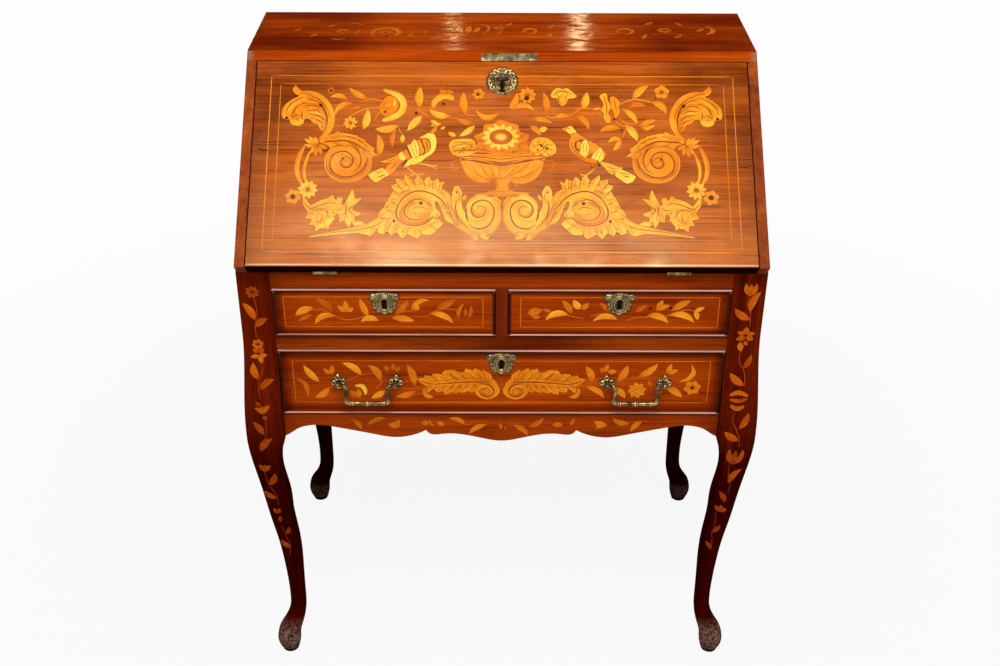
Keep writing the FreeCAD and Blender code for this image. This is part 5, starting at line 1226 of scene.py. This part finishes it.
leftDrawerLeaves["bands"] += stringBox(-334, -29, 672, 725, 0.9, 0.5)
rightDrawerLeaves["bands"] += stringBox(29, 333, 672, 725, 0.9, 0.5)
wideLeaves["bands"] += stringBox(-329, 329, 531, 609.5, 0.9, 0.5)
frontDesigns = {
    "left_drawer": [(leftDrawerLeaves, single)],
    "right_drawer": [(rightDrawerLeaves, single)],
    "wide_drawer": [(widePair, both), (wideLeaves, single)],
}
for body, designs in frontDesigns.items():
    inlayPanel("inlay_" + body, designs, onFront, inlay["drawers"], body)

# apron, legs and top
apronLeaves = {"bands": [
    [0.3, (-250, 494, 1.1), (-238, 495, 1.2), (-226, 490, 1.1)], [0.3, (-60, 487, 1.2), (-48, 488, 1.1)],
    [0.3, (206, 491, 1.2), (222, 494, 1.1), (238, 494, 1.1)], [0.3, (10, 487, 1.1), (22, 486, 1.2)]
], "leaves": [
    (-240, 497, -227, 478, 9, 0.1, 0.36), (-187, 500, -216, 486, 9, -0.1, 0.36),
    (-164, 484, -182, 487, 13, 0, 0.46), (-172, 484, -165, 496, 9, 0, 0.42),
    (-118, 489, -129, 491, 11, 0, 0.38), (-108, 484, -116, 498, 7, 0.2, 0.28),
    (-92, 486, -104, 491, 10, 0, 0.4), (-59, 487, -84, 499, 9, -0.15, 0.46),
    (-24, 487, -52, 468, 10, -0.12, 0.48), (0, 478, -2, 490, 6, 0, 0.4), (8, 476, 6, 484, 4, 0, 0.3),
    (45, 484, 68, 500, 10, -0.1, 0.42), (20, 486, 44, 466, 11, 0.12, 0.42), (100, 487, 83, 487, 11, 0, 0.36),
    (112, 486, 118, 500, 8, 0, 0.32), (172, 487, 151, 494, 12, 0.1, 0.46),
    (172, 486, 154, 480, 9, -0.1, 0.44), (208, 491, 180, 500, 11, 0.15, 0.46),
    (228, 494, 211, 474, 11, -0.1, 0.5)
]}
leftLegLeaves = {"bands": [
    [0.35, (-381, 650, 1.2), (-381, 672, 1.3), (-376, 700, 1.2), (-379, 722, 1)],
    [0.35, (-384, 541, 1.2), (-385, 562, 1.3), (-382, 580, 1.2), (-374, 600, 1)],
    [0.3, (-386, 456, 1.2), (-380, 478, 1.2), (-378, 504, 1)],
    [0.3, (-385, 362, 1.1), (-389, 386, 1.1), (-391, 402, 1)],
    [0.28, (-374, 322, 1), (-376, 344, 1.1), (-384, 364, 1)],
    [0.26, (-366, 205, 1), (-363, 228, 1), (-368, 252, 1), (-374, 276, 1)]
], "leaves": [
    (-381, 684, -397, 714, 13, -0.08, 0.6), (-380, 671, -361, 686, 12, 0.12, 0.5),
    (-380, 620, -393, 617, 8, 0, 0.66), (-380, 620, -367, 621, 8, 0, 0.62),
    (-379, 621, -376, 606, 9, 0, 0.66), (-380, 625, -389, 632, 9, 0, 0.42),
    (-379, 625, -372, 632, 9, 0, 0.42), (-384, 578, -390, 607, 13, 0.1, 0.6),
    (-382, 559, -359, 578, 12, 0.12, 0.46), (-382, 515, -394, 526, 8, -0.1, 0.55),
    (-382, 515, -382, 529, 9, 0, 0.58), (-381, 515, -370, 531, 8, 0.1, 0.55),
    (-384, 528, -392, 538, 8, 0, 0.32), (-380, 512, -378, 503, 8, 0, 0.35),
    (-384, 475, -399, 500, 12, -0.05, 0.42), (-391, 442, -371, 468, 13, 0.12, 0.42),
    (-390, 397, -398, 412, 9, -0.1, 0.4), (-390, 397, -388, 412, 10, 0, 0.42),
    (-388, 398, -379, 411, 9, 0.1, 0.4), (-385, 368, -374, 394, 12, -0.1, 0.36),
    (-376, 338, -395, 354, 11, 0.1, 0.36), (-378, 304, -383, 316, 8, 0, 0.28),
    (-377, 304, -373, 316, 8, 0, 0.28), (-374, 298, -374, 285, 8, 0, 0.28),
    (-368, 256, -361, 273, 9, -0.1, 0.3), (-362, 224, -378, 243, 10, 0.05, 0.32)
], "blooms": [
    (-380, 733, 11, 8, 0.36), (-380, 640, 9.5, 6, 0.56)
], "dots": [
    (-380, 640, 1.4)
]}
rightLegLeaves = {"bands": [
    [0.38, (379, 730, 1.2), (376, 714, 1.3), (382, 698, 1.3), (384, 674, 1.1)],
    [0.36, (373, 630, 1.2), (374, 610, 1.3), (383, 592, 1.3), (386, 566, 1.1)],
    [0.32, (387, 452, 1.1), (386, 468, 1.2), (379, 488, 1.2), (372, 504, 1.1), (374, 522, 1)],
    [0.28, (375, 418, 1), (376, 396, 1.1), (381, 370, 1.1), (380, 352, 1)],
    [0.26, (364, 308, 1), (365, 290, 1), (363, 266, 1)], [0.26, (361, 264, 1), (364, 244, 1), (364, 222, 1)],
    [0.62, (363, 551, 5), (377, 556, 9), (393, 550, 5)], [0.5, (364, 544, 4), (378, 541, 8), (392, 545, 4)],
    [0.6, (366, 533, 5), (377, 527, 9), (388, 532, 5)]
], "leaves": [
    (378, 729, 371, 751, 9, 0.08, 0.6), (378, 729, 379, 749, 9, 0, 0.56),
    (379, 729, 387, 751, 9, -0.08, 0.6), (382, 701, 395, 736, 12, 0.12, 0.58),
    (383, 687, 358, 706, 13, 0.1, 0.56), (378, 660, 380, 673, 10, 0, 0.55), (378, 660, 366, 664, 8, 0, 0.58),
    (380, 660, 393, 662, 8, 0, 0.55), (379, 655, 365, 650, 10, 0, 0.56), (380, 655, 392, 651, 10, 0, 0.56),
    (372, 646, 374, 629, 10, 0, 0.68), (378, 648, 383, 640, 7, 0, 0.5), (380, 599, 391, 624, 10, -0.1, 0.42),
    (384, 569, 361, 591, 13, 0.08, 0.55), (384, 489, 396, 519, 12, -0.08, 0.5),
    (385, 466, 361, 483, 13, 0.08, 0.46), (380, 416, 373, 449, 10, 0.1, 0.4),
    (380, 418, 383, 446, 9, 0, 0.34), (381, 416, 394, 448, 10, -0.12, 0.4),
    (379, 374, 397, 406, 12, 0.12, 0.42), (377, 331, 365, 356, 10, -0.05, 0.32),
    (372, 310, 361, 324, 9, 0, 0.34), (372, 310, 371, 325, 9, 0, 0.36), (373, 309, 380, 318, 9, 0, 0.34),
    (361, 263, 374, 280, 10, -0.1, 0.3), (364, 222, 353, 241, 8, -0.05, 0.3)
], "dots": [
    (378, 545, 1.2), (383, 544, 1.2)
]}
topLeaves = {"bands": [
    [0.36, (-206, 320, 5), (-213, 338, 9), (-206, 356, 9), (-190, 364, 8), (-174, 358, 9), (-167, 340, 9),
     (-174, 320, 5)],
    [0.2, (-256, 378, 3), (-244, 388, 5), (-230, 380, 3)],
    [0.2, (-276, 312, 3), (-264, 306, 5), (-252, 312, 3)],
    [0.3, (-40, 386, 2), (-24, 376, 5), (-22, 356, 5), (-30, 340, 2)],
    [0.4, (36, 340, 4), (37, 356, 7), (46, 363, 7), (55, 354, 7), (52, 340, 5), (42, 336, 3)],
    [0.4, (188, 342, 4), (190, 358, 7), (202, 364, 7), (213, 354, 7), (209, 340, 5), (198, 336, 3)],
    [0.36, (336, 378, 3), (346, 362, 8), (343, 346, 9), (332, 336, 4)],
    [0.2, (-330, 330, 2), (-300, 340, 2), (-270, 330, 2), (-240, 340, 2)],
    [0.22, (240, 330, 2), (270, 342, 2), (300, 332, 2)]
], "leaves": [
    (-152, 318, -146, 338, 9, 0, 0.34), (-126, 330, -122, 352, 8, 0.1, 0.26),
    (-118, 306, -96, 318, 8, 0.1, 0.3), (-64, 342, -70, 372, 12, 0.1, 0.36),
    (-56, 340, -54, 374, 12, 0, 0.38), (-48, 342, -40, 370, 11, -0.1, 0.36),
    (-84, 304, -72, 326, 10, 0, 0.4), (-96, 384, -80, 398, 9, 0, 0.36), (72, 318, 80, 342, 9, 0, 0.38),
    (74, 362, 86, 382, 9, 0, 0.34), (140, 322, 148, 344, 9, 0, 0.36), (142, 378, 150, 394, 8, 0, 0.3),
    (226, 312, 234, 336, 9, 0, 0.34), (236, 384, 252, 398, 9, 0, 0.24), (318, 350, 332, 366, 9, 0, 0.3),
    (-310, 318, -300, 336, 8, 0, 0.2), (-240, 330, -232, 352, 8, 0, 0.24),
    (-290, 368, -272, 382, 8, 0, 0.18), (278, 316, 292, 334, 8, 0, 0.22), (298, 378, 288, 396, 8, 0, 0.2),
    (-340, 346, -328, 362, 8, 0, 0.2), (-10, 330, 0, 352, 8, 0, 0.3), (6, 372, 16, 392, 8, 0, 0.3)
], "blooms": [
    (-190, 342, 10, 7, 0.3), (266, 356, 13, 7, 0.24), (-260, 346, 12, 7, 0.22), (112, 348, 13, 7, 0.3),
    (-5, 364, 10, 6, 0.3)
], "dots": [
    (-190, 342, 2), (112, 348, 2), (-187, 322, 2.4)
]}


def onNode(node, middleX):
    # a slip follows the curved face of a leg, found by looking at it from the front
    target = nodes[node]
    pulls = (0.0, 0.05, 0.1, 0.18, 0.28, 0.4, 0.6)
    steepest = -0.35
    clear = 0.06

    def place(x, up, lift):
        # a point that misses the face is pulled in towards the middle of the leg
        for pull in pulls:
            atX = x + (middleX - x) * pull
            start = Vector((atX / 1000, desk["shiftY"] / 1000 - 0.3, up / 1000))
            hit, spot, normal, face = target.ray_cast(start, Vector((0, 1, 0)))
            if hit and normal.y < steepest:
                return spot + normal * (lift + clear) / 1000
        return onFront(x, up, lift)

    return place


inlayPanel("inlay_apron", [(apronLeaves, single)], onFront, inlay["drawers"], "case")
for side, leaves, middleX in (("left", leftLegLeaves, -380), ("right", rightLegLeaves, 380)):
    onLeg = onNode("leg_front_" + side, middleX)
    inlayPanel("inlay_leg_" + side, [(leaves, single)], onLeg, inlay["legs"], "case")
inlayPanel("inlay_top", [(topLeaves, single)], onTop, inlay["top"], "case")


# cast brass: plates and rosettes are reliefs raised on a fan-shaped grid
def farEdge(turn, rounds):
    # how far the outline reaches in one direction, from rounds of (x, up, radius)
    acrossX = math.cos(turn)
    acrossY = math.sin(turn)
    reach = 0.0
    for x, y, radius in rounds:
        inside = radius ** 2 - (x * acrossY - y * acrossX) ** 2
        if inside > 0:
            reach = max(reach, x * acrossX + y * acrossY + math.sqrt(inside))
    return reach


def keyEdge(turn, hole):
    # the same for a keyhole: round above, slot flaring to its foot
    roundRadius, slotTop, slotFoot, drop = hole
    reach = 0.0
    inside = True
    while inside:
        reach += 0.05
        x = reach * math.cos(turn)
        y = reach * math.sin(turn)
        share = min(max(-y / drop, 0.0), 1.0)
        inSlot = -drop < y <= 0 and abs(x) < slotTop + (slotFoot - slotTop) * share
        inside = inSlot or math.hypot(x, y) < roundRadius
    return reach


def runsNear(x, y, line):
    # distance from a point to a line of points
    nearest = math.inf
    for (x0, y0), (x1, y1) in zip(line, line[1:]):
        runX = x1 - x0
        runY = y1 - y0
        share = ((x - x0) * runX + (y - y0) * runY) / (runX ** 2 + runY ** 2)
        share = min(max(share, 0.0), 1.0)
        nearest = min(nearest, math.hypot(x - x0 - runX * share, y - y0 - runY * share))
    return nearest


def ridge(off, width, high):
    return high * math.cos(off / width * math.pi / 2) if off < width else 0.0


def raisedBy(x, y, look):
    # the highest of the rings, beads and ribs at a point of a plate
    rises = [0.0]
    for x0, y0, radiusX, radiusY, width, high in look["rings"]:
        off = abs(math.hypot((x - x0) / radiusX, (y - y0) / radiusY) - 1) * min(radiusX, radiusY)
        rises.append(ridge(off, width, high))
    for x0, y0, radius, high in look["beads"]:
        off = math.hypot(x - x0, y - y0) / radius
        rises.append(high * math.sqrt(max(1 - off ** 2, 0.0)))
    for width, high, line in look["ribs"]:
        rises.append(ridge(runsNear(x, y, line), width, high))
    return max(rises)


def addGrid(across, up):
    # a flat grid to be wrapped round a form, with the share across and up of each of its points
    bpy.ops.object.select_all(action="DESELECT")
    bpy.ops.mesh.primitive_grid_add(x_subdivisions=across, y_subdivisions=up, size=2)
    piece = bpy.context.object
    return piece, [(vertex, (vertex.co.x + 1) / 2, (vertex.co.y + 1) / 2) for vertex in piece.data.vertices]


def setRelief(piece, relief):
    piece.data.attributes.new("relief", "FLOAT", "POINT").data.foreach_set("value", relief)


def closeMesh(piece, ring=False):
    bpy.context.view_layer.objects.active = piece
    bpy.ops.object.mode_set(mode="EDIT")
    bpy.ops.mesh.select_all(action="SELECT")
    bpy.ops.mesh.remove_doubles(threshold=0.00001)
    if ring:
        bpy.ops.mesh.select_all(action="DESELECT")
        bpy.ops.mesh.select_non_manifold()
        bpy.ops.mesh.bridge_edge_loops()
    else:
        bpy.ops.mesh.fill_holes(sides=0)
    bpy.ops.mesh.select_all(action="SELECT")
    bpy.ops.mesh.normals_make_consistent(inside=False)
    bpy.ops.object.mode_set(mode="OBJECT")


castLook = {"rim": 1.4, "rimLeast": 0.25, "rimTone": 0.05, "flatTone": 0.3, "proudTone": 0.7, "smooth": 55}


def castRelief(name, look, place):
    columns = look["columns"]
    inner = look["inner"]
    last = look["rows"] + len(inner)
    piece, points = addGrid(columns, last)
    piece.name = name
    edges = []
    for column in range(columns + 1):
        turn = 2 * math.pi * column / columns
        start = keyEdge(turn, look["hole"]) if "hole" in look else look["stem"]
        edges.append((math.cos(turn), math.sin(turn), start, farEdge(turn, look["rounds"])))
    relief = []
    for vertex, around, outward in points:
        acrossX, acrossY, start, reach = edges[round(around * columns)]
        row = round(outward * last)
        if row < len(inner):
            share, height, tone = inner[row]
            off = start * share
        elif row == last:
            off = reach
            height = 0.0
            tone = castLook["rimTone"]
        else:
            share = (row - len(inner)) / (look["rows"] - 1)
            off = start + (reach - start) * share
            rise = raisedBy(off * acrossX, off * acrossY, look)
            rim = min((reach - off) / castLook["rim"], 1.0)
            height = look["thick"] + look["dome"] * (1 - share ** 2) + rise * max(rim, castLook["rimLeast"])
            tone = castLook["flatTone"] * rim + castLook["proudTone"] * rise / look["proud"]
        vertex.co = place(off * acrossX, off * acrossY, height)
        relief.append(tone)
    setRelief(piece, relief)
    closeMesh(piece, look["open"])
    return piece


def finishCast(piece, finish, body, stoodFor):
    pickOnly([piece])
    bpy.ops.object.shade_smooth_by_angle(angle=math.radians(castLook["smooth"]))
    finishPiece(piece, finish, body)
    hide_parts(stoodFor)


def spiral(x, y, fromRadius, toRadius, fromTurn, sweep, steps=14):
    line = []
    for step in range(steps + 1):
        share = step / steps
        radius = fromRadius + (toRadius - fromRadius) * share
        turn = math.radians(fromTurn + sweep * share)
        line.append((x + radius * math.cos(turn), y + radius * math.sin(turn)))
    return line


def mirroredToo(items):
    return items + [(-item[0], *item[1:]) for item in items]


# drawer plates: two rings round the keyhole, gadrooned crown, scrolled ears, leafy sides
drawerPlate = {
    "columns": 132, "rows": 30, "thick": 0.7, "dome": 0.7, "proud": 1.7, "open": False,
    # inner rows of tone -1 are the keyhole's floor, painted black as shade
    "hole": (4.3, 3.5, 3.9, 12.0), "inner": [(0.0, 0.15, -1.0), (0.6, 0.15, -1.0), (0.97, 0.15, -1.0)],
    "rounds": [(0, -3, 15.5), (0, -6, 15), (0, 13.4, 4)] + mirroredToo([
        (18.6, 8.4, 6), (4, 13.2, 4), (9.5, 12.6, 4), (14, 11.2, 4.6), (16, -3.5, 4), (14.6, -10.4, 4.2),
        (9.6, -16.8, 4.2), (0, -19.4, 4.2)]),
    "rings": [(0, -3.8, 7.8, 11.2, 1.4, 1.5), (0, -4.2, 11.6, 14.6, 1.5, 1.3)],
    "beads": mirroredToo([
        (0, 14.2, 1.8, 1.6), (3.6, 14, 1.8, 1.5), (7.2, 13.4, 1.8, 1.5), (10.8, 12.6, 1.8, 1.5),
        (14.2, 11.4, 1.8, 1.4), (18.8, 8.2, 1.7, 1.8), (16.2, -3.6, 2.7, 1.3), (14.8, -10.4, 2.8, 1.3),
        (9.8, -16.6, 2.8, 1.3), (0, -19.4, 3.2, 1.7)]),
    "ribs": [],
    "keys": {"left_drawer": (-180, 717), "right_drawer": (180, 717), "wide_drawer": (0, 608)},
}
for side in (1, -1):
    for width, high, rib in ((1.1, 1.6, spiral(18.6, 8.4, 5.1, 2.6, 200, -400)),
                             (1.0, 1.0, [(12.8, 6.4), (14.8, 2.4), (14.4, -1)]),
                             (0.9, 1.0, [(0, -16.6), (2.8, -18.8), (3.2, -22)])):
        drawerPlate["ribs"].append((width, high, [(side * x, y) for x, y in rib]))
for body, (keyX, keyUp) in drawerPlate["keys"].items():
    plate = castRelief(body + "_plate", drawerPlate, lambda x, up, lift: onFront(keyX + x, keyUp + up, lift))
    finishCast(plate, metal["cast"], body, body + "_escutcheon")

# the fall's plate: scalloped wreath above a plain rim, keyhole flaring downwards
fallPlate = {
    "columns": 132, "rows": 30, "thick": 0.8, "dome": 0.5, "proud": 1.8, "open": True, "keyUp": 304,
    "hole": (3.6, 2.4, 4.8, 15), "inner": [(0.76, 0.12, -1.0), (0.97, 0.12, -1.0)],
    "rounds": [(0, -1, 19), (0, 5, 19)],
    "rings": [(0, -1.5, 13, 15, 1.3, 1.1), (0, -2, 17.6, 17.4, 1.2, 0.7)], "beads": [], "ribs": [],
}
wreath = {"leaves": 12, "first": -30.0, "sweep": 240.0, "middle": 20.0, "up": 3.4, "lobe": 5.4, "ring": 3.3,
          "beadOut": 1.04, "rib": (0.72, 0.88)}


def onKey(x, up, lift):
    return onFall(x, fallPlate["keyUp"] + up, lift)


for count in range(wreath["leaves"]):
    turn = math.radians(wreath["first"] + wreath["sweep"] * count / (wreath["leaves"] - 1))
    leafX = wreath["middle"] * math.cos(turn)
    leafY = wreath["middle"] * math.sin(turn)
    fallPlate["rounds"].append((leafX, leafY + wreath["up"], wreath["lobe"]))
    fallPlate["rings"].append((leafX, leafY + wreath["up"], wreath["ring"], wreath["ring"], 1.2, 1.5))
    fallPlate["beads"].append((leafX * wreath["beadOut"], leafY * wreath["beadOut"] + wreath["up"], 1.7, 1.8))
    inward = [(leafX * share, leafY * share + wreath["up"]) for share in wreath["rib"]]
    fallPlate["ribs"].append((0.8, 1.0, inward))
finishCast(castRelief("fall_plate", fallPlate, onKey), metal["cast"], "fall", "fall_escutcheon")

# the key: turned shank and collars, flat oval bow; (height above the fall, radius) from the bit outwards
key = {
    "shank": [(-22.5, 2.2), (-22.4, 2.38), (-4, 2.38), (4.4, 2.38), (4.8, 3.3), (6, 3.4), (6.4, 2.5),
              (7, 2.5), (7.3, 3), (8.2, 3), (8.6, 2.4), (11.6, 2.2), (11.8, 1.2)],
    "bow": {"up": 15.4, "middle": 8.2, "wall": 1.8, "flat": 0.62, "thin": 0.8},
    "bit": {"low": -21.0, "high": -13.0, "reach": 7.0, "thick": 2.0},
    "edge": 0.0003,
}
turnings = len(key["shank"]) - 1
shank, points = addGrid(turnings, 20)
for vertex, upward, around in points:
    lift, radius = key["shank"][round(upward * turnings)]
    turn = 2 * math.pi * around
    vertex.co = onKey(radius * math.cos(turn), radius * math.sin(turn), lift)
bow = key["bow"]
bpy.ops.mesh.primitive_torus_add(major_segments=40, minor_segments=14, major_radius=bow["middle"],
                                 minor_radius=bow["wall"])
ringBow = bpy.context.object
for vertex in ringBow.data.vertices:
    x, y, z = vertex.co
    vertex.co = onKey(x, z * bow["thin"], bow["up"] + y * bow["flat"])
bit = key["bit"]
bpy.ops.mesh.primitive_cube_add(size=1)
flag = bpy.context.object
for vertex in flag.data.vertices:
    x, y, z = vertex.co
    lift = bit["low"] + (z + 0.5) * (bit["high"] - bit["low"])
    vertex.co = onKey((x + 0.5) * bit["reach"], y * bit["thick"], lift)
for part in (shank, ringBow, flag):
    pickOnly([part])
    closeMesh(part)
joinPieces("key_turned", [shank, ringBow, flag])
edges = shank.modifiers.new("edges", "BEVEL")
edges.width = key["edge"]
edges.segments = 2
edges.limit_method = "ANGLE"
edges.angle_limit = math.radians(60)
bpy.ops.object.modifier_apply(modifier=edges.name)
finishCast(shank, metal["iron"], "fall_key", "fall_key")

# rosettes behind the bails: four curled leaves round a boss, stem and eye, each set a little askew
bails = {"left": -213, "right": 213, "postOff": 45.5, "up": 571, "stand": 13.5}
rosette = {
    "columns": 96, "rows": 22, "thick": 0.8, "dome": 2.0, "proud": 1.8, "open": False, "stem": 3.4,
    "inner": [(0.0, 9.6, 0.7), (0.8, 9.5, 0.6), (1.0, 8.6, 0.5), (1.06, 4.6, 0.1)],
    "rounds": [(0, 0, 8)], "rings": [(0, 0, 5.4, 5.4, 1.2, 1.0)], "beads": [], "ribs": [],
    "leafOff": 8.2, "berryOff": 6.6, "berryTurn": 0.785,
    "posts": [("left", -1, 9), ("left", 1, -7), ("right", -1, 5), ("right", 1, -10)],
    "eye": {"middle": 3.75, "wall": 1.35, "long": 2.7, "tone": 0.6},
}
for count in range(4):
    turn = math.pi / 2 * count
    leafX = rosette["leafOff"] * math.cos(turn)
    leafY = rosette["leafOff"] * math.sin(turn)
    rosette["rounds"].append((leafX, leafY, 5.2))
    rosette["rings"].append((leafX, leafY, 3.6, 3.6, 1.4, 1.8))
    rosette["beads"].append((leafX, leafY, 1.2, 0.9))
    berryX = rosette["berryOff"] * math.cos(turn + rosette["berryTurn"])
    berryY = rosette["berryOff"] * math.sin(turn + rosette["berryTurn"])
    rosette["beads"].append((berryX, berryY, 1.9, 1.4))
eye = rosette["eye"]
castParts = []
for side, step, degrees in rosette["posts"]:
    postX = bails[side] + step * bails["postOff"]
    askew = math.radians(degrees)

    def onPost(x, up, lift):
        turnedX = x * math.cos(askew) - up * math.sin(askew)
        turnedY = x * math.sin(askew) + up * math.cos(askew)
        return onFront(postX + turnedX, bails["up"] + turnedY, lift)

    castParts.append(castRelief("rosettePart", rosette, onPost))
    bpy.ops.mesh.primitive_torus_add(major_segments=24, minor_segments=12, major_radius=eye["middle"],
                                     minor_radius=eye["wall"])
    ringEye = bpy.context.object
    for vertex in ringEye.data.vertices:
        x, y, z = vertex.co
        vertex.co = onFront(postX + z * eye["long"], bails["up"] + y, bails["stand"] - x)
    setRelief(ringEye, [eye["tone"]] * len(ringEye.data.vertices))
    closeMesh(ringEye)
    castParts.append(ringEye)
finishCast(joinPieces("rosettes_cast", castParts), metal["cast"], "wide_drawer", "bail_rosettes")

# bails: swan necks into a turned bar with a knop and rings; half of one, (across, up, radius)
bailHalf = [
    (0, -33.5, 4.3), (1.5, -33.5, 4.2), (2.1, -33.5, 3.2), (3.2, -33.5, 3.8), (4.2, -33.5, 3.7),
    (4.8, -33.5, 3.1), (9, -33.4, 3.3), (16, -33.3, 3.5), (21, -33.2, 3.4), (22.4, -33.2, 3.4),
    (22.9, -33.2, 4.1), (24.1, -33.2, 4.1), (24.6, -33.1, 3.4), (26, -33.1, 3.5), (26.5, -33, 4),
    (27.3, -33, 3.9), (28, -32.9, 3.5), (30.4, -32.2, 3.7), (32.6, -30.6, 3.9), (34.2, -28, 3.7),
    (34.8, -24.6, 3.3), (34.4, -21, 3.1), (33.4, -17, 3), (32.4, -13, 3), (32, -9, 3.2), (32.2, -5.2, 3.5),
    (33.4, -2.1, 3.7), (36, -0.3, 3.4), (38, 0, 2.7), (39.4, 0, 2.2), (39.8, 0, 1.95), (45, 0, 1.95),
    (50, 0, 1.95), (50.3, 0, 1.2)]
bailShine = {"thin": 2.4, "range": 1.7, "least": 0.1}
halfLine = smoothLine(bailHalf, 2 * (len(bailHalf) - 1))
bailPath = [(-x, up, radius) for x, up, radius in reversed(halfLine[1:])] + halfLine
bailRows = layRows([(x, up, 2 * radius) for x, up, radius in bailPath], False)
for side in ("left", "right"):
    bail, points = addGrid(len(bailRows) - 1, 14)
    bail.name = "bail_%s_cast" % side
    relief = []
    for vertex, runAlong, around in points:
        x, up, normalX, normalY, radius = bailRows[round(runAlong * (len(bailRows) - 1))]
        turn = 2 * math.pi * around
        out = radius * math.cos(turn)
        lift = bails["stand"] + radius * math.sin(turn)
        vertex.co = onFront(bails[side] + x + normalX * out, bails["up"] + up + normalY * out, lift)
        relief.append(min(max((radius - bailShine["thin"]) / bailShine["range"], bailShine["least"]), 1.0))
    setRelief(bail, relief)
    closeMesh(bail)
    finishCast(bail, metal["cast"], "bail_" + side, "bail_" + side)
print("brass done")


# stage: pale floor, soft overhead light, two narrow windows behind, camera from the photograph
stage = {
    "camera": (-0.01001, -1.92618, 1.71073), "aim": (1.0220, -0.00401, -0.00185), "lens": 46.68, "sensor": 36,
    "farthest": 200, "lit": (0.3, 0.95, 0.12, 0.3), "seen": (0.06, 0.26, 1.0, 0.12), "floor": (0.5, 0.5, 0.5),
    "floorRough": 0.9, "floorWhite": (0.5, 2.2, 0.9, 0.985), "floorSize": 120.0, "floorCells": 12,
    "floorZ": -0.0005,
}
# each lamp: place, aim, (width, height), power, colour
lampWhite = (1, 1, 1)
lamps = {
    "lampOverhead": ((0.1, -1.68, 2.75), (0.0, -0.25, 0.75), (2.4, 1.5), 64.0, lampWhite),
    "lampFront": ((0.0, -3.4, 1.3), (0.0, 0.0, 0.6), (3.2, 1.8), 12.0, lampWhite),
    "lampSheen": ((-0.06, -0.985, 2.75), (0.0, -0.2, 0.8), (1.2, 0.1), 25.0, lampWhite),
    "lampBack": ((0.0, 3.0, 0.7), (0.0, 0.2, 0.6), (2.4, 0.9), 16.0, lampWhite),
    "lampSide_0": ((-3.0, 0.3, 0.8), (0.0, 0.1, 0.7), (1.6, 1.2), 9.0, lampWhite),
    "lampSide_1": ((3.0, 0.3, 0.8), (0.0, 0.1, 0.7), (1.6, 1.2), 9.0, lampWhite),
    "lampWindow_0": ((-0.15, 2.19, 1.72), (-0.05, 0.1, 1.0), (0.045, 0.26), 1.1, (1.0, 0.72, 0.3)),
    "lampWindow_1": ((0.26, 2.19, 1.72), (0.1, 0.1, 1.0), (0.045, 0.26), 2.8, (1.0, 0.8, 0.4)),
}
for name, (place, aim, (width, height), power, colour) in lamps.items():
    bpy.ops.object.light_add(type="AREA", location=place)
    lamp = bpy.context.object
    lamp.name = name
    lamp.data.shape = "RECTANGLE"
    lamp.data.size = width
    lamp.data.size_y = height
    lamp.data.energy = power
    lamp.data.color = colour
    lamp.rotation_euler = (Vector(aim) - Vector(place)).to_track_quat("-Z", "Y").to_euler()
    lamp.visible_camera = False


def seenRays(tree):
    # what the camera sees: straight, and mirrored in polish and metal
    rays = tree.nodes.new("ShaderNodeLightPath")
    straight = rays.outputs["Is Camera Ray"]
    mirrored = calc(tree, "MAXIMUM", rays.outputs["Is Glossy Ray"], rays.outputs["Is Transmission Ray"])
    return straight, mirrored, calc(tree, "MAXIMUM", straight, mirrored)


# the sky is white to the camera, pale low down in mirrors, and soft from above as light
world = bpy.data.worlds.new("studio")
bpy.context.scene.world = world
world.use_nodes = True
tree = world.node_tree
sky = tree.nodes["Background"]
skyCoord = tree.nodes.new("ShaderNodeTexCoord")
skyUp = addNode(tree, "SeparateXYZ", Vector=skyCoord.outputs["Generated"]).outputs["Z"]
straight, mirrored, shown = seenRays(tree)
asLight = times(tree, spread(tree, skyUp, *stage["lit"]), calc(tree, "SUBTRACT", 1.0, shown))
asMirror = times(tree, spread(tree, skyUp, *stage["seen"]), mirrored)
plug(tree, sky.inputs["Strength"], plus(tree, asLight, asMirror, straight))
sky.inputs["Color"].default_value = (1, 1, 1, 1)

bpy.ops.mesh.primitive_grid_add(x_subdivisions=stage["floorCells"], y_subdivisions=stage["floorCells"],
                                size=stage["floorSize"], location=(0, 0, stage["floorZ"]))
floor = bpy.context.object
floor.name = "studioFloor"
floorFinish, tree, shader = newFinish("floor_paper")
shader.inputs["Base Color"].default_value = (*stage["floor"], 1)
shader.inputs["Roughness"].default_value = stage["floorRough"]
white = addNode(tree, "Emission", Strength=1.0)
mixed = tree.nodes.new("ShaderNodeMixShader")
shown = seenRays(tree)[-1]
squares = [calc(tree, "POWER", axisOf(tree, axis), 2.0) for axis in "XY"]
away = calc(tree, "SQRT", plus(tree, *squares))
plug(tree, mixed.inputs[0], times(tree, shown, spread(tree, away, *stage["floorWhite"])))
tree.links.new(shader.outputs[0], mixed.inputs[1])
tree.links.new(white.outputs[0], mixed.inputs[2])
tree.links.new(mixed.outputs[0], tree.nodes["Material Output"].inputs["Surface"])
floor.data.materials.append(floorFinish)

bpy.ops.object.camera_add(location=stage["camera"], rotation=stage["aim"])
camera = bpy.context.object
camera.data.lens = stage["lens"]
camera.data.sensor_width = stage["sensor"]
camera.data.clip_end = stage["farthest"]
bpy.context.scene.camera = camera
bpy.context.scene.view_settings.view_transform = "Standard"
print("stage set")

for blank in blanks.values():
    bpy.data.objects.remove(blank)
